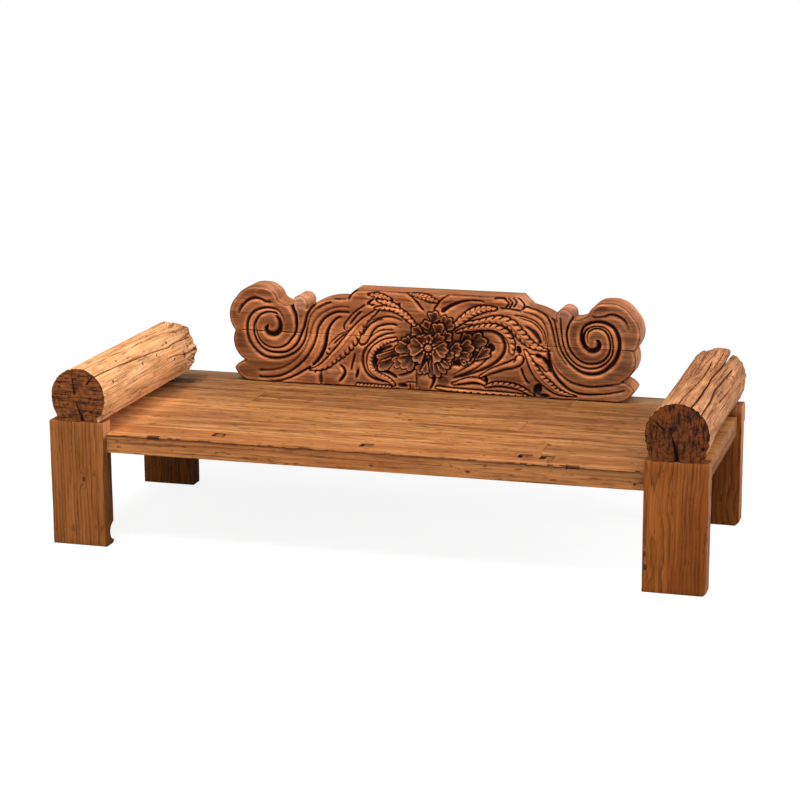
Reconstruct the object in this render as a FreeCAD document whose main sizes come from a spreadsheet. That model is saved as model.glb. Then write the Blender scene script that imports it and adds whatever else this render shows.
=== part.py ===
import FreeCAD, Part
import Sketcher
import math
import os
from FreeCAD import Placement, Rotation, Vector

# Daybed of reclaimed timber, in millimetres: four slab legs, a plank seat on bearers,
# two log arms that lie on the leg tops, and a thick carved back of two boards.
# The origin is on the floor at the middle of the bed. +X runs along the length,
# +Y to the back and +Z up, so the front faces -Y.

doc = FreeCAD.newDocument("daybed")
sheet = doc.addObject("Spreadsheet::Sheet", "sizes")

# Driving sizes: each row is a name, a length in millimetres and what it measures
SIZES = [
    ("bed_length", 2210, "over the outer faces of the legs"),
    ("bed_depth", 1018, "front face of the front legs to the back of the rear rail"),
    ("seat_height", 388, "floor to the top of the seat"),
    ("arm_rise", 42, "seat to the leg tops, on which the arms lie"),
    ("leg_width", 196, "slab leg, across the front"),
    ("leg_thickness", 62, "slab leg, front to back"),
    ("leg_ease", 3, "worn bevel on the edges of the legs"),
    ("rear_leg_inset", 152, "back of the rear legs to the back of the rear rail"),
    ("rail_height", 64, "front and rear rails, top to bottom"),
    ("rail_setback", 22, "front rail behind the face of the front legs"),
    ("front_rail_width", 131, "front to back"),
    ("rear_rail_width", 103, "front to back"),
    ("end_setback", 18, "plank ends inside the outer faces of the legs"),
    ("plank_thickness", 34, "seat planks"),
    ("board_gap", 1, "open joint between two boards of the seat"),
    ("row_5_reach", 51, "front edge of the fifth row of planks before the rear legs"),
    ("row_1_butt", 545, "butt joint in the first row, right of the middle"),
    ("row_3_butt", 410, "butt joint in the third row, right of the middle"),
    ("row_4_butt", 600, "butt joint in the fourth row, left of the middle"),
    ("row_5_butt", 500, "butt joint in the fifth row, right of the middle"),
    ("bearer_width", 70, "cross bearers under the planks"),
    ("bearer_left", 545, "left bearer's centre, left of the middle"),
    ("bearer_middle", 25, "middle bearer's centre, left of the middle"),
    ("bearer_right", 500, "right bearer's centre, right of the middle"),
    ("tenon_length", 40, "bearer tenons into the rails"),
    ("tenon_shoulder", 7, "bearer's face to its tenon's, all round"),
    ("under_rail_height", 70, "long rail between the rear legs, below the bearers"),
    ("under_rail_thickness", 44, "the same rail, front to back"),
    ("under_tenon_length", 36, "its tenons into the rear legs"),
    ("plug_side", 46, "square plugs in old mortises of the front rail"),
    ("plug_depth", 24, "how deep the plugs go"),
    ("plug_inset", 66, "front face of the front rail to the plugs"),
    ("plug_sink", 2, "plug tops below the seat"),
    ("extra_plug", 78, "spare plug, right of the right bearer's"),
    ("leg_dowel_radius", 9, "dowels from the front legs into the front rail"),
    ("leg_dowel_length", 70, "the same"),
    ("leg_dowel_spread", 96, "the same, between the two of a leg"),
    ("log_radius", 96, "arm logs at the front end"),
    ("log_rear_radius", 94, "arm logs at the rear end"),
    ("log_centre_height", 86, "centre of the log above its flat"),
    ("log_flat", 140, "width of the hewn flat that lies on the legs"),
    ("left_log_inset", 108, "left log's centre from the outer face of the legs"),
    ("right_log_inset", 98, "right log's centre from the outer face of the legs"),
    ("log_dowel_radius", 11, "dowels from the leg tops into the logs"),
    ("log_dowel_length", 80, "the same"),
    ("panel_half_length", 760, "carved back, middle to the outer side of a scroll"),
    ("panel_height", 358, "carved back above the seat"),
    ("panel_thickness", 105, "carved back, front to back"),
    ("panel_setback", 17, "back of the panel before the back of the rear rail"),
    ("panel_shift", 29, "middle of the panel, left of the middle of the bed"),
    ("panel_joint", 190, "joint between the two boards of the back, above the seat"),
    ("shoulder_right", 326, "half length of the straight top, right of the middle"),
    ("shoulder_left", 279, "half length of the straight top, left of the middle"),
    ("field_depth", 18, "carved field behind the face of the scrolls"),
    ("spiral_out", 595, "middle of the panel to the eye of a scroll"),
    ("spiral_up", 209, "seat to the eye of a scroll"),
    ("spiral_eye", 24, "radius at which the spiral groove starts"),
    ("spiral_pitch", 42, "growth of the spiral groove in one turn"),
    ("spiral_groove", 11, "width of the spiral groove"),
    ("spiral_depth", 16, "depth of the spiral groove"),
    ("flute_groove", 7, "width of the grooves along the scroll bands"),
    ("flute_depth", 9, "depth of the same"),
    ("flower_left", 11, "flower's centre, left of the middle of the panel"),
    ("flower_up", 160, "seat to the flower's centre"),
    ("flower_radius", 84, "tips of the outer petals"),
    ("flower_inner_radius", 52, "tips of the inner petals"),
    ("flower_button_radius", 17, "button in the middle of the flower"),
    ("ring_out", 152, "middle of the panel to the centre of a leaf ring"),
    ("ring_up", 112, "seat to the centre of a leaf ring"),
    ("ring_radius", 96, "outside of a leaf ring"),
    ("ring_width", 27, "width of a leaf ring's band"),
    ("panel_dowel_radius", 10, "dowels from the rear rail into the back"),
    ("panel_dowel_length", 76, "the same"),
    ("panel_dowel_spread", 300, "the same, from one to the next"),
    ("board_dowel_radius", 8, "dowels between the two boards of the back"),
    ("board_dowel_length", 70, "the same"),
    ("fit_gap", 0.2, "play of a dowel all round in its hole"),
    ("overrun", 5, "how far a cutting shape passes the face that it opens"),
]

for row, (alias, length, note) in enumerate(SIZES, start=1):
    sheet.set(f"A{row}", alias)
    sheet.set(f"B{row}", str(length))
    sheet.set(f"C{row}", note)
    sheet.setAlias(f"B{row}", alias)
doc.recompute()


def size(alias):
    """A driving size as a plain number, for shapes that are drawn by formula."""
    return float(sheet.get(alias))


# Places that several pieces share, as expressions on the sheet
HALF_LENGTH = "sizes.bed_length / 2"
FRONT = "-sizes.bed_depth / 2"
BACK = "sizes.bed_depth / 2"
PLANK_END = "(sizes.bed_length / 2 - sizes.end_setback)"
RAIL_FRONT = f"({FRONT} + sizes.rail_setback)"
RAIL_BACK = f"({RAIL_FRONT} + sizes.front_rail_width)"
REAR_RAIL_FRONT = f"({BACK} - sizes.rear_rail_width)"
FRONT_LEG_BACK = f"({FRONT} + sizes.leg_thickness)"
REAR_LEG_BACK = f"({BACK} - sizes.rear_leg_inset)"
REAR_LEG_FRONT = f"({REAR_LEG_BACK} - sizes.leg_thickness)"
RAIL_BOTTOM = "(sizes.seat_height - sizes.rail_height)"
PLANK_BOTTOM = "(sizes.seat_height - sizes.plank_thickness)"
BEARER_HEIGHT = "(sizes.rail_height - sizes.plank_thickness)"
LEG_INNER = "(sizes.bed_length / 2 - sizes.leg_width)"
LEG_TOP = "(sizes.seat_height + sizes.arm_rise)"
BEARERS = {
    "left": "(-sizes.bearer_left)",
    "middle": "(-sizes.bearer_middle)",
    "right": "sizes.bearer_right",
}


def place(item, corner):
    """Bind an object's position to three expressions."""
    for axis, text in zip("xyz", corner):
        item.setExpression(f"Placement.Base.{axis}", text)


def attach(sketch, body, role):
    """Lay a sketch on one of its own body's origin planes."""
    plane = next(part for part in body.Origin.OriginFeatures if part.Role == role)
    sketch.AttachmentSupport = (plane, [""])
    sketch.MapMode = "FlatFace"


def bind(sketch, constraint, name, text):
    """Add a constraint, name it and bind its value to the sheet."""
    index = sketch.addConstraint(constraint)
    sketch.renameConstraint(index, name)
    sketch.setExpression(f"Constraints.{name}", text)


def rectangle(sketch, width, depth):
    """A rectangle with one corner on the sketch's origin, bound to two expressions."""
    start = size("leg_width")
    corners = [Vector(0, 0, 0), Vector(start, 0, 0), Vector(start, start, 0), Vector(0, start, 0)]
    for a, b in zip(corners, corners[1:] + corners[:1]):
        sketch.addGeometry(Part.LineSegment(a, b), False)
    for side in range(4):
        sketch.addConstraint(Sketcher.Constraint("Coincident", side, 2, (side + 1) % 4, 1))
    for side in (0, 2):
        sketch.addConstraint(Sketcher.Constraint("Horizontal", side))
    for side in (1, 3):
        sketch.addConstraint(Sketcher.Constraint("Vertical", side))
    sketch.addConstraint(Sketcher.Constraint("Coincident", 0, 1, -1, 1))
    bind(sketch, Sketcher.Constraint("DistanceX", 0, 1, 0, 2, start), "width", width)
    bind(sketch, Sketcher.Constraint("DistanceY", 1, 1, 1, 2, start), "depth", depth)


def timber(label, dimensions, corner):
    """A squared timber: a rectangle on the body's base plane, padded up."""
    body = doc.addObject("PartDesign::Body", label)
    body.Label = label
    outline = body.newObject("Sketcher::SketchObject", f"{label}_outline")
    attach(outline, body, "XY_Plane")
    rectangle(outline, dimensions[0], dimensions[1])
    pad = body.newObject("PartDesign::Pad", f"{label}_pad")
    pad.Profile = outline
    pad.setExpression("Length", dimensions[2])
    outline.Visibility = False
    place(body, corner)
    return body


def box_feature(body, kind, name, dimensions, corner):
    """A tenon (AdditiveBox), or a mortise or notch (SubtractiveBox), in the body's own place."""
    feature = body.newObject(f"PartDesign::{kind}", name)
    for side, text in zip(("Length", "Width", "Height"), dimensions):
        feature.setExpression(side, text)
    place(feature, corner)
    return feature


def bore(body, name, radius, depth, foot, along="z"):
    """A dowel hole whose foot is its lowest end along Z or Y."""
    hole = body.newObject("PartDesign::SubtractiveCylinder", name)
    hole.setExpression("Radius", f"{radius} + sizes.fit_gap")
    hole.setExpression("Height", depth)
    if along == "y":
        hole.Placement = Placement(Vector(), Rotation(Vector(1, 0, 0), -90))
    place(hole, foot)
    return hole


def ease_edges(body, width, keep_bottom):
    """Bevel the upright and upper edges of a padded timber."""
    doc.recompute()
    pad = body.Tip
    names = []
    for index, edge in enumerate(pad.Shape.Edges, start=1):
        low = max(vertex.Z for vertex in edge.Vertexes) < pad.Shape.BoundBox.ZMin + size("overrun")
        if not (low and keep_bottom):
            names.append(f"Edge{index}")
    chamfer = body.newObject("PartDesign::Chamfer", f"{body.Label}_ease")
    chamfer.Base = (pad, names)
    chamfer.setExpression("Size", width)


def dowel(name, radius, length, foot, along="z"):
    """One dowel, its foot at its lowest end along Z or Y."""
    pin = doc.addObject("Part::Cylinder", name)
    pin.setExpression("Radius", radius)
    pin.setExpression("Height", length)
    if along == "y":
        pin.Placement = Placement(Vector(), Rotation(Vector(1, 0, 0), -90))
    place(pin, foot)
    return pin


def group(label, members):
    """Like pieces that share one node, as separate solids."""
    compound = doc.addObject("Part::Compound", label)
    compound.Label = label
    compound.Links = members
    return compound


# Legs: upright slabs with worn edges; the log arms lie on their tops
def leg(label, side, row):
    corner_x = f"-({HALF_LENGTH})" if side == "left" else f"{LEG_INNER}"
    corner_y = FRONT if row == "front" else REAR_LEG_FRONT
    body = timber(label, ("sizes.leg_width", "sizes.leg_thickness", LEG_TOP),
                  (corner_x, corner_y, "0"))
    ease_edges(body, "sizes.leg_ease", keep_bottom=True)
    bore(body, f"{label}_log_bore", "sizes.log_dowel_radius",
         "sizes.log_dowel_length / 2 + sizes.overrun",
         (log_place(side, corner_x), "sizes.leg_thickness / 2",
          f"{LEG_TOP} - sizes.log_dowel_length / 2"))
    if row == "front":
        for index, sign in enumerate("-+", start=1):
            bore(body, f"{label}_rail_bore_{index}", "sizes.leg_dowel_radius",
                 "sizes.leg_dowel_length / 2 + sizes.overrun",
                 (f"sizes.leg_width / 2 {sign} sizes.leg_dowel_spread / 2",
                  "sizes.leg_thickness - sizes.leg_dowel_length / 2",
                  f"{RAIL_BOTTOM} + sizes.rail_height / 2"), along="y")
    else:
        rear_leg_mortises(body, label, side)
    return body


def log_place(side, corner_x):
    """Where the log's centre line crosses a leg, counted from the leg's corner."""
    if side == "left":
        return f"-({HALF_LENGTH}) + sizes.left_log_inset - ({corner_x})"
    return f"{HALF_LENGTH} - sizes.right_log_inset - ({corner_x})"


def rear_leg_mortises(body, label, side):
    """The under rail enters a rear leg from its inner side, the end bearer from the front."""
    mouth = "sizes.leg_width - sizes.under_tenon_length" if side == "left" else "-sizes.overrun"
    box_feature(body, "SubtractiveBox", f"{label}_under_mortise",
                ("sizes.under_tenon_length + sizes.overrun",
                 "sizes.under_rail_thickness - 2 * sizes.tenon_shoulder",
                 "sizes.under_rail_height - 2 * sizes.tenon_shoulder"),
                (mouth,
                 "(sizes.leg_thickness - sizes.under_rail_thickness) / 2 + sizes.tenon_shoulder",
                 f"{RAIL_BOTTOM} - sizes.under_rail_height + sizes.tenon_shoulder"))
    inset = "sizes.end_setback + sizes.tenon_shoulder"
    if side == "right":
        inset = "sizes.leg_width - sizes.end_setback - sizes.bearer_width + sizes.tenon_shoulder"
    box_feature(body, "SubtractiveBox", f"{label}_bearer_mortise",
                ("sizes.bearer_width - 2 * sizes.tenon_shoulder",
                 "sizes.leg_thickness / 2 + sizes.overrun",
                 f"{BEARER_HEIGHT} - 2 * sizes.tenon_shoulder"),
                (inset, "-sizes.overrun", f"{RAIL_BOTTOM} + sizes.tenon_shoulder"))


# Front rail: a thick old beam notched round the backs of the front legs
def front_rail():
    body = timber("front_rail",
                  (f"2 * {PLANK_END}", "sizes.front_rail_width", "sizes.rail_height"),
                  (f"-{PLANK_END}", RAIL_FRONT, RAIL_BOTTOM))
    notch = "sizes.leg_width - sizes.end_setback"
    depth = "sizes.leg_thickness - sizes.rail_setback"
    for name, corner in (("left", "-sizes.overrun"), ("right", f"2 * {PLANK_END} - ({notch})")):
        box_feature(body, "SubtractiveBox", f"front_rail_{name}_notch",
                    (f"{notch} + sizes.overrun", f"{depth} + sizes.overrun",
                     "sizes.rail_height + 2 * sizes.overrun"),
                    (corner, "-sizes.overrun", "-sizes.overrun"))
    for name, middle in BEARERS.items():
        bearer_mortise(body, f"front_rail_{name}_mortise", middle,
                       "sizes.front_rail_width - sizes.tenon_length")
    for name in ("left", "right"):
        end_mortise(body, name)
        for index, sign in enumerate("-+", start=1):
            bore(body, f"front_rail_{name}_bore_{index}", "sizes.leg_dowel_radius",
                 "sizes.leg_dowel_length / 2 + sizes.overrun",
                 (f"{leg_middle(name)} {sign} sizes.leg_dowel_spread / 2 + {PLANK_END}",
                  f"{depth} - sizes.overrun", "sizes.rail_height / 2"), along="y")
    for name, middle in plug_places().items():
        box_feature(body, "SubtractiveBox", f"front_rail_{name}_plug_seat",
                    ("sizes.plug_side", "sizes.plug_side", "sizes.plug_depth + sizes.overrun"),
                    (f"{middle} - sizes.plug_side / 2 + {PLANK_END}", "sizes.plug_inset",
                     "sizes.rail_height - sizes.plug_depth"))
    return body


def leg_middle(side):
    """Middle of a leg along the bed."""
    text = f"({HALF_LENGTH} - sizes.leg_width / 2)"
    return f"(-{text})" if side == "left" else text


def plug_places():
    """The plugs stand over the bearers, with one more beside the right one."""
    places = dict(BEARERS)
    places["spare"] = f"({BEARERS['right']} + sizes.extra_plug)"
    return places


def bearer_mortise(body, name, middle, start):
    """A rail's mortise for a cross bearer, open to the planks' side."""
    length = "sizes.tenon_length + sizes.overrun"
    box_feature(body, "SubtractiveBox", name,
                ("sizes.bearer_width - 2 * sizes.tenon_shoulder", length,
                 f"{BEARER_HEIGHT} - 2 * sizes.tenon_shoulder"),
                (f"{middle} - sizes.bearer_width / 2 + sizes.tenon_shoulder + {PLANK_END}",
                 start, "sizes.tenon_shoulder"))


def end_mortise(body, side):
    """The front rail's mortise for an end bearer."""
    middle = f"({PLANK_END} - sizes.bearer_width / 2)"
    if side == "left":
        middle = f"(-{middle})"
    bearer_mortise(body, f"front_rail_{side}_end_mortise", middle,
                   "sizes.front_rail_width - sizes.tenon_length")


# Rear rail: it lies behind the rear legs, and the carved back stands on it
def rear_rail():
    body = timber("rear_rail",
                  (f"2 * {PLANK_END}", "sizes.rear_rail_width", "sizes.rail_height"),
                  (f"-{PLANK_END}", REAR_RAIL_FRONT, RAIL_BOTTOM))
    for name, middle in BEARERS.items():
        bearer_mortise(body, f"rear_rail_{name}_mortise", middle, "-sizes.overrun")
    for index in range(PANEL_DOWELS):
        bore(body, f"rear_rail_bore_{index + 1}", "sizes.panel_dowel_radius",
             "sizes.panel_dowel_length / 2 + sizes.overrun",
             (f"{panel_dowel_x(index)} + {PLANK_END}", f"{PANEL_MIDDLE} - {REAR_RAIL_FRONT}",
              "sizes.rail_height - sizes.panel_dowel_length / 2"))
    return body


PANEL_BACK = f"({BACK} - sizes.panel_setback)"
PANEL_FRONT = f"({PANEL_BACK} - sizes.panel_thickness)"
PANEL_MIDDLE = f"({PANEL_BACK} - sizes.panel_thickness / 2)"


PANEL_DOWELS = 4


def panel_dowel_x(index):
    """Where a foot dowel stands; they are evenly spread about the middle of the carved back."""
    steps = index - (PANEL_DOWELS - 1) / 2
    return f"({steps} * sizes.panel_dowel_spread - sizes.panel_shift)"


# Bearers: flat timbers across the bed that carry the planks, tenoned into the rails
def cross_bearer(name):
    middle = BEARERS[name]
    length = f"({REAR_RAIL_FRONT} - {RAIL_BACK})"
    label = f"cross_bearer_{name}"
    body = timber(label, ("sizes.bearer_width", length, BEARER_HEIGHT),
                  (f"{middle} - sizes.bearer_width / 2", RAIL_BACK, RAIL_BOTTOM))
    for end, start in (("front", "-sizes.tenon_length"), ("rear", length)):
        tenon(body, f"{label}_{end}_tenon", start, "sizes.tenon_length")
    return body


def tenon(body, name, start, length):
    """A bearer's tenon, shouldered all round."""
    box_feature(body, "AdditiveBox", name,
                ("sizes.bearer_width - 2 * sizes.tenon_shoulder", length,
                 f"{BEARER_HEIGHT} - 2 * sizes.tenon_shoulder"),
                ("sizes.tenon_shoulder", start, "sizes.tenon_shoulder"))


def end_bearer(side):
    label = f"end_bearer_{side}"
    length = f"({REAR_LEG_FRONT} - {RAIL_BACK})"
    corner = f"-{PLANK_END}" if side == "left" else f"{PLANK_END} - sizes.bearer_width"
    body = timber(label, ("sizes.bearer_width", length, BEARER_HEIGHT),
                  (corner, RAIL_BACK, RAIL_BOTTOM))
    tenon(body, f"{label}_front_tenon", "-sizes.tenon_length", "sizes.tenon_length")
    tenon(body, f"{label}_rear_tenon", length, "sizes.leg_thickness / 2")
    return body


# Under rail: ties the rear legs together and carries the cross bearers
def under_rail():
    body = timber("rear_under_rail",
                  (f"2 * {LEG_INNER}", "sizes.under_rail_thickness", "sizes.under_rail_height"),
                  (f"-{LEG_INNER}",
                   f"{REAR_LEG_FRONT} + (sizes.leg_thickness - sizes.under_rail_thickness) / 2",
                   f"{RAIL_BOTTOM} - sizes.under_rail_height"))
    for name, start in (("left", "-sizes.under_tenon_length"), ("right", f"2 * {LEG_INNER}")):
        box_feature(body, "AdditiveBox", f"under_rail_{name}_tenon",
                    ("sizes.under_tenon_length",
                     "sizes.under_rail_thickness - 2 * sizes.tenon_shoulder",
                     "sizes.under_rail_height - 2 * sizes.tenon_shoulder"),
                    (start, "sizes.tenon_shoulder", "sizes.tenon_shoulder"))
    return body


# Seat planks: five rows between the rails, four of them in two lengths
# The shares part the room between the front rail and the fifth row among the first four.
ROW_END_SHARES = [0.233, 0.467, 0.692]
ROW_1 = RAIL_BACK
ROW_5 = f"({REAR_LEG_FRONT} - sizes.row_5_reach)"
ROW_2, ROW_3, ROW_4 = [f"({ROW_1} + {share} * ({ROW_5} - {ROW_1}))" for share in ROW_END_SHARES]
ROWS = {
    "1": (ROW_1, ROW_2, "sizes.row_1_butt"),
    "2": (ROW_2, ROW_3, None),
    "3": (ROW_3, ROW_4, "sizes.row_3_butt"),
    "4": (ROW_4, ROW_5, "(-sizes.row_4_butt)"),
    "5": (ROW_5, REAR_RAIL_FRONT, "sizes.row_5_butt"),
}


def seat_plank(row, side):
    """One plank, with half an open joint along each edge and at its butt."""
    start, end, butt = ROWS[row]
    label = f"seat_plank_{row}" if side is None else f"seat_plank_{row}_{side}"
    low = f"(-{PLANK_END})" if side != "right" else f"({butt} + sizes.board_gap / 2)"
    high = PLANK_END if side != "left" else f"({butt} - sizes.board_gap / 2)"
    body = timber(label, (f"{high} - {low}", f"{end} - {start} - sizes.board_gap",
                          "sizes.plank_thickness"),
                  (low, f"{start} + sizes.board_gap / 2", PLANK_BOTTOM))
    if row == "5":
        leg_notch(body, label, side, low, start)
    return body


def leg_notch(body, label, side, low, start):
    """The fifth row reaches round the rear legs with a tongue before and behind each."""
    corner = "-sizes.overrun" if side == "left" else f"{LEG_INNER} - {low}"
    box_feature(body, "SubtractiveBox", f"{label}_notch",
                ("sizes.leg_width - sizes.end_setback + sizes.overrun", "sizes.leg_thickness",
                 "sizes.plank_thickness + 2 * sizes.overrun"),
                (corner, f"{REAR_LEG_FRONT} - {start} - sizes.board_gap / 2", "-sizes.overrun"))


def seat_planks():
    planks = []
    for row, (start, end, butt) in ROWS.items():
        sides = ("left", "right") if butt else (None,)
        planks.extend(seat_plank(row, side) for side in sides)
    return planks


# Log arms: whole logs, hewn flat underneath where they lie on the legs
def log_section(body, name, radius, offset):
    """A round log's section, its flat on the sketch's X axis and its sides drawn in to it."""
    section = body.newObject("Sketcher::SketchObject", name)
    attach(section, body, "XZ_Plane")
    section.setExpression("AttachmentOffset.Base.z", offset)
    r, rise, half = size("log_radius"), size("log_centre_height"), size("log_flat") / 2
    drawn_in = r - half
    flank = (drawn_in * drawn_in + rise * rise) / (2 * drawn_in)
    sweep = math.asin(rise / flank)
    up = Vector(0, 0, 1)
    arcs = [
        (Vector(0, rise, 0), r, 0, math.pi),
        (Vector(r - flank, rise, 0), flank, -sweep, 0),
        (Vector(flank - r, rise, 0), flank, math.pi, math.pi + sweep),
    ]
    for centre, arc_radius, start, end in arcs:
        section.addGeometry(Part.ArcOfCircle(Part.Circle(centre, up, arc_radius), start, end), False)
    section.addGeometry(Part.LineSegment(Vector(-half, 0, 0), Vector(half, 0, 0)), False)
    section.addConstraint(Sketcher.Constraint("Tangent", 0, 1, 1, 2))
    section.addConstraint(Sketcher.Constraint("Tangent", 0, 2, 2, 1))
    section.addConstraint(Sketcher.Constraint("Coincident", 1, 1, 3, 2))
    section.addConstraint(Sketcher.Constraint("Coincident", 2, 2, 3, 1))
    section.addConstraint(Sketcher.Constraint("Horizontal", 3))
    section.addConstraint(Sketcher.Constraint("Symmetric", 3, 1, 3, 2, -1, 1))
    section.addConstraint(Sketcher.Constraint("PointOnObject", 0, 3, -2))
    section.addConstraint(Sketcher.Constraint("Horizontal", 0, 3, 1, 3))
    section.addConstraint(Sketcher.Constraint("Horizontal", 0, 3, 2, 3))
    bind(section, Sketcher.Constraint("DistanceX", 3, 1, 3, 2, 2 * half), "flat", "sizes.log_flat")
    bind(section, Sketcher.Constraint("DistanceY", -1, 1, 0, 3, rise), "rise", "sizes.log_centre_height")
    bind(section, Sketcher.Constraint("Radius", 0, r), "radius", radius)
    return section


def log_arm(side):
    label = f"log_arm_{side}"
    body = doc.addObject("PartDesign::Body", label)
    body.Label = label
    length = f"({REAR_LEG_BACK} - ({FRONT}))"
    front = log_section(body, f"{label}_front", "sizes.log_radius", "0")
    rear = log_section(body, f"{label}_rear", "sizes.log_rear_radius", f"-{length}")
    loft = body.newObject("PartDesign::AdditiveLoft", f"{label}_loft")
    loft.Profile = front
    loft.Sections = [rear]
    doc.recompute()
    middle = f"-({HALF_LENGTH}) + sizes.left_log_inset"
    if side == "right":
        middle = f"{HALF_LENGTH} - sizes.right_log_inset"
    place(body, (middle, FRONT, LEG_TOP))
    for end, y in (("front", "sizes.leg_thickness / 2"),
                   ("rear", f"{length} - sizes.leg_thickness / 2")):
        bore(body, f"{label}_{end}_bore", "sizes.log_dowel_radius",
             "sizes.log_dowel_length / 2 + sizes.overrun", ("0", y, "-sizes.overrun"))
    return body


# Carved back: the outline of one half as arcs, each by the point it passes and its end.
# The points are shares of the panel's half length and of its height above the seat.
FOOT_SHARE = (0.895, 0.0)
SCROLL_SHARES = [
    ((0.946, 0.040), (0.978, 0.131)),
    ((0.953, 0.188), (0.920, 0.213)),
    ((0.980, 0.385), (0.972, 0.522)),
    ((1.000, 0.680), (0.962, 0.872)),
    ((0.914, 0.966), (0.842, 0.994)),
    ((0.788, 0.960), (0.754, 0.860)),
    ((0.726, 0.822), (0.682, 0.807)),
    ((0.646, 0.912), (0.608, 0.785)),
]
BAND_SHARE = (0.555, 0.852)
STEP_SHARES = [(0.050, 0.900), (0.024, 0.952), (0.0, 1.0)]


def scroll_side(sign, shoulder):
    """Edges from the foot of one half, round its scroll and bud, up to the straight top."""
    half, tall = size("panel_half_length"), size("panel_height")

    def point(share, start=0):
        return Vector(sign * (start + share[0] * half), 0, share[1] * tall)

    edges = []
    last = point(FOOT_SHARE)
    for via, end in SCROLL_SHARES:
        edges.append(Part.Arc(last, point(via), point(end)).toShape())
        last = point(end)
    steps = [point(share, shoulder) for share in STEP_SHARES]
    edges.append(Part.Arc(last, point(BAND_SHARE), steps[0]).toShape())
    edges.extend(Part.LineSegment(a, b).toShape() for a, b in zip(steps, steps[1:]))
    return edges, point(FOOT_SHARE), steps[-1]


def panel_blank():
    """The whole back before carving, in its own place: X along it, Y through it, Z up."""
    right, right_foot, right_top = scroll_side(1, size("shoulder_right"))
    left, left_foot, left_top = scroll_side(-1, size("shoulder_left"))
    edges = right + [Part.LineSegment(right_top, left_top).toShape()]
    edges += left + [Part.LineSegment(left_foot, right_foot).toShape()]
    wire = Part.Wire(Part.__sortEdges__(edges))
    return Part.Face(wire).extrude(Vector(0, size("panel_thickness"), 0))


# Carved field: sunk between the two scrolls, from shares of the same half length and height
FIELD_SHARES = [
    ((0.560, 0.240), (0.532, 0.590)),
    ((0.500, 0.770), (0.420, 0.850)),
]
FIELD_FOOT_SHARE = (0.664, 0.035)
FIELD_TOP_SHARE = (0.352, 0.940)


def field_tool():
    """What is cut away between the scrolls, leaving a rim under the straight top."""
    half, tall = size("panel_half_length"), size("panel_height")
    edges = []
    ends = []
    for sign in (1, -1):
        def point(share):
            return Vector(sign * share[0] * half, 0, share[1] * tall)
        last = point(FIELD_FOOT_SHARE)
        ends.append(last)
        for via, end in FIELD_SHARES:
            edges.append(Part.Arc(last, point(via), point(end)).toShape())
            last = point(end)
        top = point(FIELD_TOP_SHARE)
        edges.append(Part.LineSegment(last, top).toShape())
        ends.append(top)
    edges.append(Part.LineSegment(ends[0], ends[2]).toShape())
    edges.append(Part.LineSegment(ends[1], ends[3]).toShape())
    face = Part.Face(Part.Wire(Part.__sortEdges__(edges)))
    reach = size("field_depth") + size("overrun")
    face.translate(Vector(0, -size("overrun"), 0))
    return face.extrude(Vector(0, reach, 0))


# Spiral groove of a scroll: it winds out from the eye and runs off under the scroll
SPIRAL_TURNS = 1.65
SPIRAL_START_TURN = 0.5
SPIRAL_STEPS = 12


def spiral_tool(sign):
    """A ribbon between two spirals, as deep as the groove."""
    middle, up = size("spiral_out"), size("spiral_up")
    half_width = size("spiral_groove") / 2

    def edge(offset):
        points = []
        for step in range(SPIRAL_STEPS + 1):
            turn = SPIRAL_TURNS * step / SPIRAL_STEPS
            radius = size("spiral_eye") + size("spiral_pitch") * turn + offset
            angle = 2 * math.pi * (turn + SPIRAL_START_TURN)
            points.append(Vector(sign * (-middle + radius * math.cos(angle)), 0,
                                 up + radius * math.sin(angle)))
        return curve_through(points)

    return ribbon(edge(-half_width), edge(half_width), size("spiral_depth"))


def curve_through(points):
    """Arcs, each through three points in turn, with the first and last of them all."""
    arcs = [Part.Arc(*points[index:index + 3]).toShape()
            for index in range(0, len(points) - 2, 2)]
    return arcs, points[0], points[-1]


def ribbon(one, other, depth):
    """A cutting shape between two curves, from before the face to a depth behind it."""
    start = Part.LineSegment(one[1], other[1]).toShape()
    end = Part.LineSegment(one[2], other[2]).toShape()
    face = Part.Face(Part.Wire(Part.__sortEdges__(one[0] + [end] + other[0] + [start])))
    face.translate(Vector(0, -size("overrun"), 0))
    return face.extrude(Vector(0, depth + size("overrun"), 0))


# Scroll bands: each runs from the straight top down round the field and out to a tip.
# The points are shares of the half length and height, the outer edge and then the inner.
BAND_SHARES = [
    ((0.442, 0.872), (0.398, 0.760)),
    ((0.532, 0.818), (0.468, 0.712)),
    ((0.596, 0.700), (0.506, 0.592)),
    ((0.618, 0.540), (0.528, 0.420)),
    ((0.662, 0.380), (0.566, 0.272)),
    ((0.744, 0.262), (0.634, 0.168)),
    ((0.856, 0.206), (0.742, 0.080)),
]
FLUTE_SHARES = [0.20, 0.52, 0.84]


def flute_tool(sign, share):
    """One groove along a scroll band, at a share of the way across it."""
    half, tall = size("panel_half_length"), size("panel_height")
    middle = []
    for outer, inner in BAND_SHARES:
        x = outer[0] + (inner[0] - outer[0]) * share
        z = outer[1] + (inner[1] - outer[1]) * share
        middle.append(Vector(sign * x * half, 0, z * tall))

    def edge(offset):
        points = []
        for index, point in enumerate(middle):
            before = middle[max(index - 1, 0)]
            after = middle[min(index + 1, len(middle) - 1)]
            along = (after - before).normalize()
            points.append(point + Vector(-along.z, 0, along.x) * offset)
        return curve_through(points)

    half_width = size("flute_groove") / 2
    return ribbon(edge(-half_width), edge(half_width), size("flute_depth"))


# Flower: two tiers of petals and a button, standing out of the carved field
OUTER_PETALS = 12
INNER_PETALS = 8
PETAL_EDGE_SHARES = [(0.0, 0.78), (0.22, 0.95), (0.5, 1.0), (0.78, 0.95)]
LOWER_TIER_SHARE = 0.55
BUTTON_TOP_SHARE = 0.6


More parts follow.
